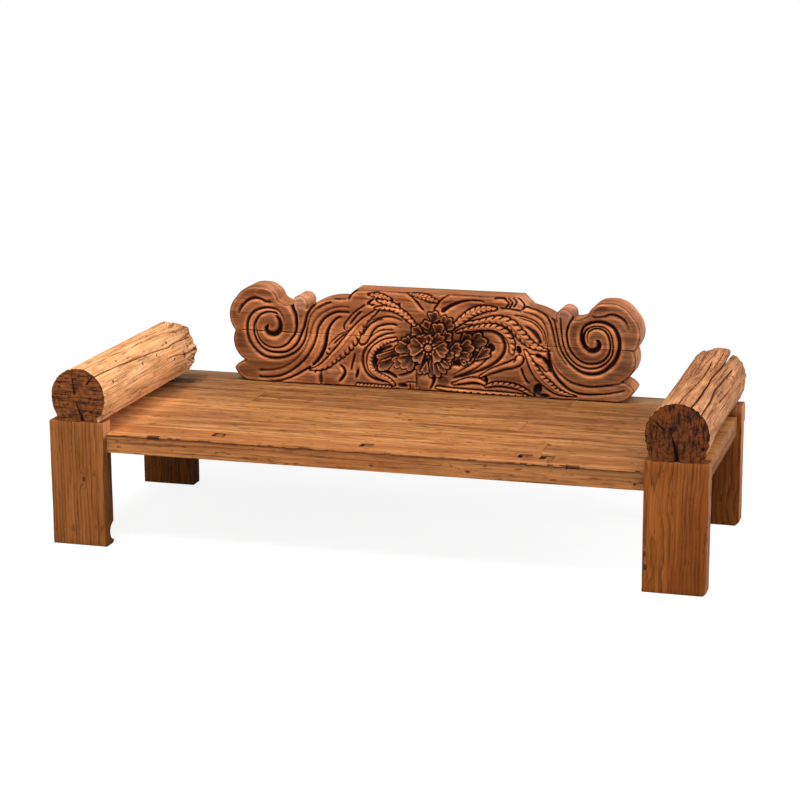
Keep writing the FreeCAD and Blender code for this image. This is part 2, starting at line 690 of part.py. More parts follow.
def lobed_disc(count, tip, thickness):
    """A disc with a blunt lobe for each petal, lying on its back at the field."""
    points = []
    for index in range(count):
        for turn, reach in PETAL_EDGE_SHARES:
            angle = 2 * math.pi * (index + turn) / count
            points.append(Vector(tip * reach * math.cos(angle), 0, tip * reach * math.sin(angle)))
    outline = Part.makePolygon(points + points[:1])
    return Part.Face(outline).extrude(Vector(0, -thickness, 0))


def flower_shape():
    """All the petals and the button, about the flower's own centre."""
    depth, radius = size("field_depth"), size("flower_button_radius")
    outer = lobed_disc(OUTER_PETALS, size("flower_radius"), depth * LOWER_TIER_SHARE)
    inner = lobed_disc(INNER_PETALS, size("flower_inner_radius"), depth)
    button = Part.makeCone(radius, radius * BUTTON_TOP_SHARE, radius * BUTTON_TOP_SHARE,
                           Vector(0, -depth, 0), Vector(0, -1, 0))
    flower = outer.multiFuse([inner, button])
    flower.translate(Vector(-size("flower_left"), depth, size("flower_up")))
    return flower


# Leaf rings: a band that curls round on each side of the flower, open towards it
RING_OPENING_DEGREES = 250


def ring_shape(sign):
    """Part of a ring band, as thick as the field is deep."""
    depth, outer = size("field_depth"), size("ring_radius")
    inner = outer - size("ring_width")
    middle = Vector(sign * size("ring_out"), 0, size("ring_up"))
    out = Part.makeCylinder(outer, depth, middle, Vector(0, 1, 0), RING_OPENING_DEGREES)
    hole = Part.makeCylinder(inner, depth, middle, Vector(0, 1, 0))
    band = out.cut(hole)
    turn = 360 - RING_OPENING_DEGREES
    lean = 180 + turn / 2 if sign < 0 else turn / 2
    band.rotate(middle, Vector(0, 1, 0), lean)
    return band


# Leaves on the field: root, a point on each side and tip, in shares as above. Those that
# sweep up from the flower come before the low one on each side; the right has one more.
LEAF_SHARES = [
    ((-0.500, 0.140), (-0.420, 0.560), (-0.350, 0.470), (-0.270, 0.850)),
    ((-0.345, 0.560), (-0.230, 0.770), (-0.215, 0.640), (-0.105, 0.700)),
    ((-0.200, 0.080), (-0.290, 0.170), (-0.250, 0.050), (-0.400, 0.055)),
    ((0.055, 0.560), (0.160, 0.800), (0.215, 0.690), (0.330, 0.900)),
    ((0.160, 0.470), (0.330, 0.700), (0.345, 0.580), (0.500, 0.690)),
    ((0.300, 0.420), (0.430, 0.500), (0.420, 0.360), (0.525, 0.330)),
    ((0.060, 0.060), (0.250, 0.130), (0.250, 0.040), (0.450, 0.055)),
]
LEAF_RISE_SHARE = 0.65


def leaf_shape(shares):
    """A pointed leaf between two arcs, standing out of the carved field."""
    half, tall = size("panel_half_length"), size("panel_height")
    root, one, other, tip = [Vector(x * half, size("field_depth"), z * tall) for x, z in shares]
    edges = [Part.Arc(root, one, tip).toShape(), Part.Arc(tip, other, root).toShape()]
    rise = size("field_depth") * LEAF_RISE_SHARE
    return Part.Face(Part.Wire(edges)).extrude(Vector(0, -rise, 0))


def feature(label, shape):
    """A shape drawn by formula, kept in the document."""
    item = doc.addObject("Part::Feature", label)
    item.Label = label
    item.Shape = shape
    return item


def carved_panel():
    """The blank less its field and spiral grooves, with the flower and leaf rings."""
    blank = feature("panel_blank", panel_blank())
    tools = [feature("panel_field", field_tool())]
    for side, sign in (("left", -1), ("right", 1)):
        tools.append(feature(f"panel_{side}_spiral", spiral_tool(sign)))
        tools += [feature(f"panel_{side}_flute_{index}", flute_tool(sign, share))
                  for index, share in enumerate(FLUTE_SHARES, start=1)]
    sunk = blank
    for tool in tools:
        cut = doc.addObject("Part::Cut", f"{tool.Name}_cut")
        cut.Base = sunk
        cut.Tool = tool
        sunk = cut
    raised = [feature("panel_left_ring", ring_shape(-1)), feature("panel_right_ring", ring_shape(1))]
    raised.append(feature("panel_flower", flower_shape()))
    raised += [feature(f"panel_leaf_{index}", leaf_shape(shares))
               for index, shares in enumerate(LEAF_SHARES, start=1)]
    carved = doc.addObject("Part::MultiFuse", "panel_carved")
    carved.Shapes = [sunk] + raised
    return carved


def panel_half(label, carved, low, high):
    """One of the two boards: what the carved back has between two heights."""
    slab = doc.addObject("Part::Box", f"{label}_slab")
    slab.setExpression("Length", "2 * sizes.panel_half_length + 2 * sizes.overrun")
    slab.setExpression("Width", "sizes.panel_thickness + 4 * sizes.overrun")
    slab.setExpression("Height", f"{high} - ({low})")
    place(slab, ("-sizes.panel_half_length - sizes.overrun", "-2 * sizes.overrun", low))
    board = doc.addObject("Part::Common", f"{label}_board")
    board.Base = carved
    board.Tool = slab
    return board


def bored_board(label, board, holes):
    """A board with its dowel holes, set on the rear rail."""
    cut = doc.addObject("Part::Cut", label)
    cut.Label = label
    cut.Base = board
    cut.Tool = group(f"{label}_bores", holes)
    place(cut, ("-sizes.panel_shift", PANEL_FRONT, "sizes.seat_height"))
    return cut


def panel_bore(name, radius, length, x, z):
    """A dowel hole in the middle of the boards' thickness."""
    hole = doc.addObject("Part::Cylinder", name)
    hole.setExpression("Radius", f"{radius} + sizes.fit_gap")
    hole.setExpression("Height", length)
    place(hole, (x, "sizes.panel_thickness / 2", z))
    return hole


BOARD_DOWEL_SHARES = [-0.72, -0.36, 0, 0.36, 0.72]


def carved_back():
    carved = carved_panel()
    lower = panel_half("lower", carved, "0", "sizes.panel_joint")
    upper = panel_half("upper", carved, "sizes.panel_joint", "sizes.panel_height + sizes.overrun")
    joint_holes = {"lower": [], "upper": []}
    for index, share in enumerate(BOARD_DOWEL_SHARES, start=1):
        x = f"{share} * sizes.panel_half_length"
        half = "sizes.board_dowel_length / 2"
        for board, z in (("lower", f"sizes.panel_joint - {half}"),
                         ("upper", "sizes.panel_joint - sizes.overrun")):
            joint_holes[board].append(panel_bore(f"{board}_joint_bore_{index}",
                                                 "sizes.board_dowel_radius",
                                                 f"{half} + sizes.overrun", x, z))
    foot_holes = [panel_bore(f"lower_foot_bore_{index + 1}", "sizes.panel_dowel_radius",
                             "sizes.panel_dowel_length / 2 + sizes.overrun",
                             f"{panel_dowel_x(index)} + sizes.panel_shift", "-sizes.overrun")
                  for index in range(PANEL_DOWELS)]
    return [bored_board("back_lower_board", lower, joint_holes["lower"] + foot_holes),
            bored_board("back_upper_board", upper, joint_holes["upper"])]


# Dowels and plugs: like ones share a node
def leg_dowels():
    pins = []
    for side in ("left", "right"):
        for index, sign in enumerate("-+", start=1):
            pins.append(dowel(f"leg_dowel_{side}_{index}", "sizes.leg_dowel_radius",
                              "sizes.leg_dowel_length",
                              (f"{leg_middle(side)} {sign} sizes.leg_dowel_spread / 2",
                               f"{FRONT_LEG_BACK} - sizes.leg_dowel_length / 2",
                               f"{RAIL_BOTTOM} + sizes.rail_height / 2"), along="y"))
    return group("front_leg_dowels", pins)


def log_dowels():
    pins = []
    for side, x in (("left", f"-({HALF_LENGTH}) + sizes.left_log_inset"),
                    ("right", f"{HALF_LENGTH} - sizes.right_log_inset")):
        for row, y in (("front", f"{FRONT_LEG_BACK} - sizes.leg_thickness / 2"),
                       ("rear", f"{REAR_LEG_BACK} - sizes.leg_thickness / 2")):
            pins.append(dowel(f"log_dowel_{side}_{row}", "sizes.log_dowel_radius",
                              "sizes.log_dowel_length",
                              (x, y, f"{LEG_TOP} - sizes.log_dowel_length / 2")))
    return group("log_arm_dowels", pins)


def panel_dowels():
    pins = [dowel(f"panel_dowel_{index + 1}", "sizes.panel_dowel_radius",
                  "sizes.panel_dowel_length",
                  (panel_dowel_x(index), PANEL_MIDDLE,
                   "sizes.seat_height - sizes.panel_dowel_length / 2"))
            for index in range(PANEL_DOWELS)]
    return group("back_foot_dowels", pins)


def board_dowels():
    pins = [dowel(f"board_dowel_{index}", "sizes.board_dowel_radius",
                  "sizes.board_dowel_length",
                  (f"{share} * sizes.panel_half_length - sizes.panel_shift", PANEL_MIDDLE,
                   "sizes.seat_height + sizes.panel_joint - sizes.board_dowel_length / 2"))
            for index, share in enumerate(BOARD_DOWEL_SHARES, start=1)]
    return group("back_joint_dowels", pins)


def mortise_plugs():
    plugs = []
    for name, middle in plug_places().items():
        plug = doc.addObject("Part::Box", f"mortise_plug_{name}")
        plug.setExpression("Length", "sizes.plug_side")
        plug.setExpression("Width", "sizes.plug_side")
        plug.setExpression("Height", "sizes.plug_depth - sizes.plug_sink")
        place(plug, (f"{middle} - sizes.plug_side / 2", f"{RAIL_FRONT} + sizes.plug_inset",
                     "sizes.seat_height - sizes.plug_depth"))
        plugs.append(plug)
    return group("mortise_plugs", plugs)


def build():
    """Every node of the bed, in the order in which it goes together."""
    nodes = [leg(f"leg_{row}_{side}", side, row)
             for row in ("front", "rear") for side in ("left", "right")]
    nodes += [front_rail(), rear_rail(), under_rail()]
    nodes += [cross_bearer(name) for name in BEARERS]
    nodes += [end_bearer(side) for side in ("left", "right")]
    nodes += seat_planks()
    nodes += [log_arm(side) for side in ("left", "right")]
    nodes += carved_back()
    nodes += [leg_dowels(), log_dowels(), panel_dowels(), board_dowels(), mortise_plugs()]
    return nodes


def check(nodes):
    """Stop if any object failed or any node's shape is empty or not valid."""
    for item in doc.Objects:
        if "Invalid" in item.State or "Error" in item.State:
            raise RuntimeError(f"{item.Label} failed: {item.State}")
    for node in nodes:
        if node.Shape.isNull() or not node.Shape.isValid():
            raise RuntimeError(f"{node.Label} has no valid shape")


nodes = build()
doc.recompute()
check(nodes)
os.makedirs("parts", exist_ok=True)
for node in nodes:
    node.Shape.exportStep(f"parts/{node.Label}.step")
    box = node.Shape.BoundBox
    print(f"{node.Label}: {len(node.Shape.Solids)} solid(s), {node.Shape.Volume / 1e6:.2f} litres,"
          f" z {box.ZMin:.1f} to {box.ZMax:.1f}")
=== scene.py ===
import math
import bpy
import numpy as np
from mathutils import Matrix, Vector, noise


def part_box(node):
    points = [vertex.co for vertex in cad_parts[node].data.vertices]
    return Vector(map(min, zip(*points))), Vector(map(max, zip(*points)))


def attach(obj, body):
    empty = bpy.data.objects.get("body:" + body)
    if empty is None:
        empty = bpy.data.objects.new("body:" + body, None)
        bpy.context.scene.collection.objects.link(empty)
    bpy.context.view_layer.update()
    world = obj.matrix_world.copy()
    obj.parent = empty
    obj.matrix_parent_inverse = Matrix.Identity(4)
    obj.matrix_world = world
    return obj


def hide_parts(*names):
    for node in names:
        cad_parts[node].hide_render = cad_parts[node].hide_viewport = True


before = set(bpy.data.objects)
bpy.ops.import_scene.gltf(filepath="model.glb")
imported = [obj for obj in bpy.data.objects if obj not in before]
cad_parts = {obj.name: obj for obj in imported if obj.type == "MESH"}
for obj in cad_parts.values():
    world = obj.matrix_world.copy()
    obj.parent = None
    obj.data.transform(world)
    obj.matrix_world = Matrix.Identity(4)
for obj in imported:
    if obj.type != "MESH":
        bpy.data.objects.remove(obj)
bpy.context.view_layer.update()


# CAMERA
# It stands to the right of the bed's front and looks a little down on it,
# with the long lens that the photo's flat perspective shows.
cam_data = bpy.data.cameras.new("camera")
cam_data.lens = 102.8
cam_data.clip_end = 60
camera = bpy.data.objects.new("camera", cam_data)
bpy.context.scene.collection.objects.link(camera)
CAM_PLACE = Vector((2.0971, -7.3135, 2.2673))
YAW, PITCH, ROLL = math.radians(16.20), math.radians(13.44), math.radians(-0.27)
cam_ahead = Vector((-math.sin(YAW) * math.cos(PITCH), math.cos(YAW) * math.cos(PITCH),
                    -math.sin(PITCH)))
cam_side = Vector((math.cos(YAW), math.sin(YAW), 0))
cam_up = cam_side.cross(cam_ahead)
cam_right = math.cos(ROLL) * cam_side + math.sin(ROLL) * cam_up
cam_top = math.cos(ROLL) * cam_up - math.sin(ROLL) * cam_side
camera.matrix_world = Matrix((
    (cam_right.x, cam_top.x, -cam_ahead.x, CAM_PLACE.x),
    (cam_right.y, cam_top.y, -cam_ahead.y, CAM_PLACE.y),
    (cam_right.z, cam_top.z, -cam_ahead.z, CAM_PLACE.z),
    (0, 0, 0, 1)))
bpy.context.scene.camera = camera
bpy.context.scene.view_settings.view_transform = "Standard"


# LEGS
# Four upright slabs of oiled reclaimed elm, sawn and then hand-planed, with worn arrises.
# The front left one has lost a piece from its back edge near the floor.
def linear(code):
    """An sRGB hex colour as linear RGBA."""
    parts = [int(code[k:k + 2], 16) / 255 for k in (1, 3, 5)]
    return [*(c / 12.92 if c <= 0.04045 else ((c + 0.055) / 1.055) ** 2.4 for c in parts), 1]


def add(tree, kind, links=(), out=0, **settings):
    """Add a shader node; its inputs come in order or by socket. Give the output asked for."""
    node = tree.nodes.new("ShaderNode" + kind)
    for name, value in settings.items():
        setattr(node, name, value)
    for socket, value in links.items() if isinstance(links, dict) else enumerate(links):
        if isinstance(value, bpy.types.NodeSocket):
            tree.links.new(value, node.inputs[socket])
        else:
            node.inputs[socket].default_value = value
    return node.outputs[out]


MM = 0.001
ALL = slice(None)  # asks a node for all its outputs


# The dirt colour darkens knot hearts and end rings, and also paints the shade in hollows.
def wood(name, grain, pale, mid, dark, ring_mm=9.0, ring_dark=0.55, vein_dark=0.5, fibre_dark=0.35,
         play=0.5, rough=0.62, relief=0.5, end="#4a2812", end_dark=0.5, patch_mm=(769.2, 111.1),
         wander_mm=16, stain=0.25, dirt_and_shade="#331707", dash=0.0, jitter=0.9, bend_mm=1111.1,
         saw_mm=(111.11, 62.5, 5.0), knots=()):
    """Solid wood: growth rings round a pith along one axis, veins, fibres, stains and knots."""
    material = bpy.data.materials.new(name)
    material.use_nodes = True
    tree = material.node_tree
    bsdf = tree.nodes["Principled BSDF"]
    axis = "XYZ".index(grain)
    coord = add(tree, "TexCoord", out="Object")
    pith = add(tree, "Attribute", out="Vector", attribute_name="pith")
    tone, recess, capped, dust = (add(tree, "Attribute", out="Fac", attribute_name=kept)
                                  for kept in ("tone", "recess", "capped", "dust"))
    place = add(tree, "VectorMath", [coord, pith], operation="SUBTRACT")
    split = add(tree, "SeparateXYZ", [place], ALL)
    along = add(tree, "CombineXYZ", [split.pop(axis), *split])
    # growth rings round the pith, bent by slow noise
    scaled = add(tree, "VectorMath", [along, [1000 / mm for mm in (bend_mm, 200, 200)]],
                 operation="MULTIPLY")
    slow = add(tree, "TexNoise", {"Vector": scaled, "Scale": 1.0, "Detail": 2.0, "Roughness": 0.55},
               "Color")
    sway = wander_mm * MM
    bent = add(tree, "VectorMath", [slow, (0, 2 * sway, 2 * sway), along],
               operation="MULTIPLY_ADD")
    bent = add(tree, "VectorMath", [bent, (0, sway, sway)], operation="SUBTRACT")
    flat = add(tree, "VectorMath", [bent, (0, 1, 1)], operation="MULTIPLY")
    radius = add(tree, "VectorMath", [flat], "Value", operation="LENGTH")
    across = add(tree, "SeparateXYZ", [bent], ALL)
    angle = add(tree, "Math", [across[1], across[2]], operation="ARCTAN2")
    polar = add(tree, "CombineXYZ", [angle, radius])
    # Each pattern's length along the grain and widths across it in mm. Real fibres are a tenth as
    # wide as these and wouldn't show. The rays' first size is in thousandths of a radian.
    patterns = []
    for where, size, detail, coarse in (
            (along, (500, 33.333, 33.333), 2.0, 0.55), (along, (71.429, 1.6129, 1.6129), 3.0, 0.6),
            (along, (166.67, 4.3478, 4.3478), 3.0, 0.65), (along, (454.55, 16.129, 16.129), 4.0, 0.62),
            (along, (90.909, 23.8095, 23.8095), 4.0, 0.7), (along, (*patch_mm, patch_mm[1]), 3.0, 0.5),
            (along, (38.462, 13.333, 13.333), 2.0, 0.5), (polar, (125, 123.457, 1000), 3.0, 0.6),
            (coord, saw_mm, 3.0, 0.6)):
        scaled = add(tree, "VectorMath", [where, [1000 / mm for mm in size]], operation="MULTIPLY")
        patterns.append(add(tree, "TexNoise", {"Vector": scaled, "Scale": 1.0, "Detail": detail,
                                               "Roughness": coarse}))
    uneven, fibre, vein, streak, mottle, cloud, pits, rays, sawn = patterns
    turns = hearts = height = 0.0
    for value, share in ((radius, 1000 / ring_mm), (uneven, jitter), (vein, 0.35)):
        turns = add(tree, "Math", [value, share, turns], operation="MULTIPLY_ADD")
    # the rings close round each knot, which has a dark heart and is longer along the grain
    for knot, size in knots:
        gap = add(tree, "VectorMath", [coord, knot], operation="SUBTRACT")
        gap = add(tree, "VectorMath", [gap, [0.55 if k == axis else 1.0 for k in range(3)]],
                  operation="MULTIPLY")
        gap = add(tree, "VectorMath", [gap], "Value", operation="LENGTH")
        near, heart = (add(tree, "MapRange", {"Value": gap, "From Min": size * rim, "From Max": size * core})
                       for rim, core in ((4.0, 0.3), (0.75, 0.45)))
        near = add(tree, "Math", [near, 3.0], operation="POWER")
        turns = add(tree, "Math", [near, 2.6, turns], operation="MULTIPLY_ADD")
        hearts = add(tree, "Math", [hearts, heart], operation="MAXIMUM")
    late = add(tree, "Math", [turns], operation="FRACT")
    late = add(tree, "Math", [late, 3.0], operation="POWER")
    # how much each pattern marks the wood: none at its low value, its full share at its high one
    facing = add(tree, "SeparateXYZ", [add(tree, "NewGeometry", out="Normal")], axis)
    facing = add(tree, "Math", [facing], operation="ABSOLUTE")
    pale_share, lines, veins, fibres, streaks, stains, pitted, *sawn_marks, ends = (
        add(tree, "MapRange", {"Value": value, "From Min": low, "From Max": high, "To Max": share})
        for value, low, high, share in (
            (cloud, 0.36, 0.64, 1.0), (streak, 0.26, 0.54, ring_dark), (vein, 0.55, 0.70, vein_dark),
            (fibre, 0.54, 0.74, fibre_dark), (streak, 0.60, 0.74, vein_dark),
            (mottle, 0.52, 0.74, stain), (pits, 0.62, 0.68, dash), (mottle, 0.44, 0.60, 0.55),
            (rays, 0.57, 0.66, 0.60), (sawn, 0.50, 0.60, 0.65), (facing, 0.70, 0.90, 1.0)))
    lines = add(tree, "Math", [late, lines], operation="MULTIPLY")
    # end grain is darker, with rays and saw marks
    cap_dark = add(tree, "Math", [late, 0.22], operation="MULTIPLY")
    for marks in sawn_marks:
        cap_dark = add(tree, "Math", [cap_dark, marks], operation="ADD", use_clamp=True)
    cap = add(tree, "Mix", {0: cap_dark, 6: linear(end), 7: linear(dirt_and_shade)}, 2, data_type="RGBA")
    ends = add(tree, "Math", [ends, capped], operation="MAXIMUM")
    ends = add(tree, "Math", [ends, end_dark], operation="MULTIPLY", use_clamp=True)
    heartwood = add(tree, "Math", [hearts, 0.8], operation="MULTIPLY")
    # hollows, cracks and gaps are darkened towards the dirt colour: painted shade, with real dirt and old
    # finish in the carving's cuts
    hollow_shade_and_dirt = add(tree, "Math", [recess, 0.92], operation="MULTIPLY", use_clamp=True)
    base = linear(mid)
    for share, colour in ((pale_share, linear(pale)), (lines, linear(dark)), (veins, linear(dark)),
                          (fibres, linear(dark)), (streaks, linear(dark)), (stains, linear(dark)),
                          (pitted, linear(dark)), (heartwood, linear(dirt_and_shade)), (ends, cap),
                          (hollow_shade_and_dirt, linear(dirt_and_shade))):
        base = add(tree, "Mix", {0: share, 6: base, 7: colour}, 2, data_type="RGBA")
    lit = tone
    for value in (streak, vein):
        lit = add(tree, "Math", [value, -play, lit], operation="MULTIPLY_ADD")
    lit = add(tree, "Math", [lit, 1 + play], operation="ADD")
    # worn places are a little greyer
    full = add(tree, "Math", [dust, -0.4, 1.0], operation="MULTIPLY_ADD", use_clamp=True)
    base = add(tree, "HueSaturation", {"Saturation": full, "Value": lit, "Color": base})
    dull = add(tree, "MapRange", {"Value": cloud, "To Min": rough - 0.07, "To Max": rough + 0.1})
    for value, share in ((fibre, 0.5), (late, -0.35), (vein, -0.8)):
        height = add(tree, "Math", [value, share, height], operation="MULTIPLY_ADD")
    bump = add(tree, "Bump", {"Height": height, "Strength": relief, "Distance": 1.5 * MM})
    for socket, value in (("Base Color", base), ("Roughness", dull), ("Normal", bump)):
        tree.links.new(value, bsdf.inputs[socket])
    bsdf.inputs["Specular IOR Level"].default_value = 0.16
    return material


def attribute(ob, name, values, kind="FLOAT"):
    """Keep one value for each vertex, or the same one for all."""
    layer = ob.data.attributes.new(name, kind, "POINT")
    count = len(ob.data.vertices)
    if kind == "FLOAT":
        layer.data.foreach_set("value", np.broadcast_to(np.array(values, np.float32), count).copy())
    else:
        layer.data.foreach_set("vector", np.tile(np.array(values, np.float32), count))


def dress(ob, material, nodes, pith=(0, 0, 0), tone=0.0):
    """Give a finished piece its wood, its pith and its tone; hide the CAD nodes that it stands for."""
    ob.data.materials.clear()
    ob.data.materials.append(material)
    attribute(ob, "pith", pith, "FLOAT_VECTOR")
    attribute(ob, "tone", tone)
    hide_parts(*nodes)
    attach(ob, "root")


def pick(*pieces):
    """Select these pieces alone; the last one is active."""
    bpy.ops.object.select_all(action="DESELECT")
    for ob in pieces:
        ob.select_set(True)
        bpy.context.view_layer.objects.active = ob


def apply_modifier(ob, kind, **settings):
    """Add a modifier and apply it."""
    pick(ob)
    made = ob.modifiers.new(kind.lower(), kind)
    for name, value in settings.items():
        setattr(made, name, value)
    bpy.ops.object.modifier_apply(modifier=made.name)


def block(name, low, high, ease=2.0, steps=(1, 1, 1)):
    """A timber between two corners in metres, cut into steps along each axis, eased."""
    low, high = Vector(low), Vector(high)
    pick()
    bpy.ops.mesh.primitive_cube_add(size=1, location=(low + high) / 2)
    ob = bpy.context.object
    ob.name = ob.data.name = name
    ob.scale = high - low
    bpy.ops.object.transform_apply(location=True, rotation=True, scale=True)
    if ease:
        apply_modifier(ob, "BEVEL", width=ease * MM, segments=3, limit_method="ANGLE")
    bpy.ops.object.mode_set(mode="EDIT")
    for axis in range(3):
        for step in range(1, steps[axis]):
            bpy.ops.mesh.select_all(action="SELECT")
            at = low.copy()
            at[axis] += (high[axis] - low[axis]) * step / steps[axis]
            bpy.ops.mesh.bisect(plane_co=at, plane_no=[float(k == axis) for k in range(3)])
    bpy.ops.object.mode_set(mode="OBJECT")
    return ob


def wear(ob, seed, slow_mm=0.5, fine_mm=0.25):
    """Move each vertex a little inwards, so that faces and arrises aren't quite true."""
    normals = [v.normal.copy() for v in ob.data.vertices]
    for v, n in zip(ob.data.vertices, normals):
        at = v.co + Vector((seed, seed * 0.7, seed * 1.3))
        v.co -= n * MM * (slow_mm * abs(noise.noise(at * 5)) + fine_mm * abs(noise.noise(at * 34)))


def take_away(ob, reach, ease=0.0):
    """Take the primitive that was just added, drawn out to its reach, away from a piece."""
    tool = bpy.context.object
    tool.scale = reach
    bpy.ops.object.transform_apply(location=True, rotation=True, scale=True)
    if ease:
        apply_modifier(tool, "BEVEL", width=ease, segments=2, limit_method="NONE")
    apply_modifier(ob, "BOOLEAN", object=tool, operation="DIFFERENCE", solver="EXACT")
    bpy.data.objects.remove(tool)


def carve_out(ob, low, high, turn=0.0, ease=0.0, axis=2):
    """Take a box away from a piece; the box may be turned about one axis by degrees."""
    low, high = Vector(low), Vector(high)
    pick()
    bpy.ops.mesh.primitive_cube_add(size=1, location=(low + high) / 2,
                                    rotation=[math.radians(turn) if k == axis else 0 for k in range(3)])
    take_away(ob, high - low, ease)


def scoop(ob, middle, reach):
    """Take an oval hollow out of a piece."""
    pick()
    bpy.ops.mesh.primitive_uv_sphere_add(segments=24, ring_count=12, radius=1, location=middle)
    take_away(ob, reach)


def shade(ob, angle=40.0):
    """Smooth shading with sharp edges past an angle."""
    for polygon in ob.data.polygons:
        polygon.use_smooth = True
    ob.data.set_sharp_from_angle(angle=math.radians(angle))


# Oiled elm: amber brown, with dark rings 10 to 11 mm apart that show as long bent lines.
leg_wood = wood("oiled_elm_slab", "Z", "#a96a36", "#8d5325", "#381a08", ring_mm=10.5, ring_dark=0.80,
                vein_dark=0.35, fibre_dark=0.40, rough=0.58, wander_mm=12, play=0.4, jitter=0.6,
                dash=0.35, bend_mm=400, knots=[((-0.985, -0.509, 0.233), 0.008)])
# The same elm from a redder tree, with wilder grain and two knots one above the other.
warm_leg_wood = wood("oiled_elm_slab_warm", "Z", "#ab6426", "#8d4a14", "#3a1706", ring_mm=11.0,
                     ring_dark=0.75, vein_dark=0.40, fibre_dark=0.45, rough=0.58, wander_mm=22,
                     play=0.5, jitter=1.1, dash=0.35, bend_mm=285.71,
                     knots=[((0.916, -0.509, 0.126), 0.008), ((0.919, -0.509, 0.082), 0.010)])
SEAT_TOP = 0.388
SAWN_WIDER = 0.009
# timber, pith, tone, how much paler the outer side is (worn, and painted light), and the seed of the wear
LEGS = {
    "leg_front_left": (leg_wood, (-0.900, -0.44, 0), 0.02, 1.0, 3.0),
    "leg_front_right": (warm_leg_wood, (0.945, -0.462, 0), -0.16, 0.15, 11.0),
    "leg_rear_left": (warm_leg_wood, (-0.80, 0.10, 0), -0.46, 0.0, 23.0),
    "leg_rear_right": (warm_leg_wood, (1.20, 0.05, 0), -0.22, 0.50, 31.0),
}
for name, (timber, pith, tone, side_tone, seed) in LEGS.items():
    low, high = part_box(name)
    if name == "leg_front_right":
        high.x += SAWN_WIDER
    leg = block(name + "_slab", low, high, ease=3.0, steps=(8, 3, 22))
    wear(leg, seed, 0.9, 0.5)
    if name == "leg_front_left":
        # a piece is missing from its back edge, whose foot is bevelled
        scoop(leg, (high.x + 0.004, high.y + 0.010, 0.044), (0.060, 0.043, 0.034))
        carve_out(leg, (low.x - 0.01, high.y - 0.008, -0.008), (high.x + 0.01, high.y + 0.008, 0.008),
                  turn=45, axis=0)
    if name == "leg_rear_left":
        # its inner shoulder is cut down to the seat
        carve_out(leg, (high.x - 0.100, low.y - 0.01, SEAT_TOP + 0.0002),
                  (high.x + 0.01, high.y + 0.01, high.z + 0.01))
    # the feet of the right legs are bevelled along their sides
    bevels = {"leg_front_right": [(high.x, 0.008)], "leg_rear_right": [(low.x, 0.010), (high.x, 0.010)]}
    for x, size in bevels.get(name, ()):
        carve_out(leg, (x - size, low.y - 0.01, -size), (x + size, high.y + 0.01, size), turn=45, axis=1)
    shade(leg)
    # the outer sides of the right legs are worn pale and painted lighter as lit from the right, as the left
    # front one is above the seat; below the seat its side is painted in shade
    worn = np.array([v.co.x > high.x - 0.0018 for v in leg.data.vertices], float)
    if name == "leg_front_left":
        worn *= [0.75 if v.co.z > 0.385 else -0.45 for v in leg.data.vertices]
    if name == "leg_rear_right":
        worn = np.maximum(worn, [0.9 * (v.co.z > SEAT_TOP + 0.004) for v in leg.data.vertices])
    attribute(leg, "dust", 0.3 * np.clip(worn, 0, 1))
    dress(leg, timber, [name], pith, tone + side_tone * worn)


# UNDER FRAME
# Plain sawn bearers, end bearers, the rail between the rear legs and the turned dowels.
# They are hardly seen, so they keep their shapes from the frame and only get their wood.
# Plain sawn wood in the shade, mid brown, with even rings; the bearers run from front to back.
bearer_wood = wood("sawn_bearer", "Y", "#8a5a34", "#6e4322", "#3c1d0c", ring_mm=7.0, rough=0.72)
under_wood = wood("sawn_under_rail", "X", "#8a5a34", "#6e4322", "#3c1d0c", ring_mm=7.0, rough=0.72)
# Turned dowels of a paler, closer-grained wood.
dowel_wood = wood("turned_dowel", "Z", "#b98a57", "#a5733f", "#6b4220", ring_mm=4.0, rough=0.6)
for name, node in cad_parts.items():
    for part, timber in (("bearer", bearer_wood), ("under_rail", under_wood), ("dowels", dowel_wood)):
        if part in name:
            node.data.materials.clear()
            node.data.materials.append(timber)


# RAILS
# The front rail is an old beam with the lip of a former groove along its top edge, chipped
# and slotted; it is notched round the front legs. The rear rail is plain and lies at the back.
# Old oiled beam: golden brown, blotched and streaked with dark, and rather matt.
rail_wood = wood("oiled_old_beam", "X", "#ba7c48", "#a06233", "#54270d", ring_mm=10.0, ring_dark=0.55,
                 vein_dark=0.6, fibre_dark=0.45, play=0.8, rough=0.6, end_dark=0.35, stain=0.55,
                 dash=0.6, patch_mm=(416.67, 55.556),
                 knots=[((0.337, -0.487, 0.346), 0.009), ((0.878, -0.487, 0.343), 0.004),
                        ((0.015, -0.487, 0.343), 0.004)])
low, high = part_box("front_rail")
leg_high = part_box("leg_front_left")[1]
front_rail = block("front_rail_beam", low, high, ease=0.8, steps=(240, 5, 4))
wear(front_rail, 41.0, 0.6, 0.3)
LIP, LIP_PROUD = 0.0040, 0.0026
carve_out(front_rail, (low.x - 0.01, low.y - 0.01, low.z - 0.01),
          (high.x + 0.01, low.y + LIP_PROUD, high.z - LIP))
for side in (-1, 1):
    x0, x1 = sorted((side * (high.x + 0.01), side * abs(leg_high.x)))
    carve_out(front_rail, (x0, low.y - 0.01, low.z - 0.01), (x1, leg_high.y, high.z + 0.01))
# chips along the front edge: middle, half length, depth from the edge and height, in mm
CHIPS = [(-743, 22, 24, 15), (-682, 9, 7, 5), (-653, 7, 6, 5), (-560, 22, 6, 5), (-330, 9, 6, 5),
         (-215, 16, 7, 5), (70, 12, 10, 7), (352, 14, 6, 5), (520, 12, 6, 5), (678, 23, 20, 13),
         (645, 9, 9, 3), (606, 9, 11, 6), (886, 8, 7, 5)]
for x, half, deep, tall in CHIPS:
    carve_out(front_rail, ((x - half) * MM, low.y - 0.01, high.z - tall * MM),
              ((x + half) * MM, low.y + deep * MM, high.z + 0.01), turn=0.6 * math.sin(x), ease=0.0016)
# old square mortises under the plugs, and slots that reach the plugs' corners
plug_low, plug_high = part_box("mortise_plugs")
MORTISE_HALF = 22.6
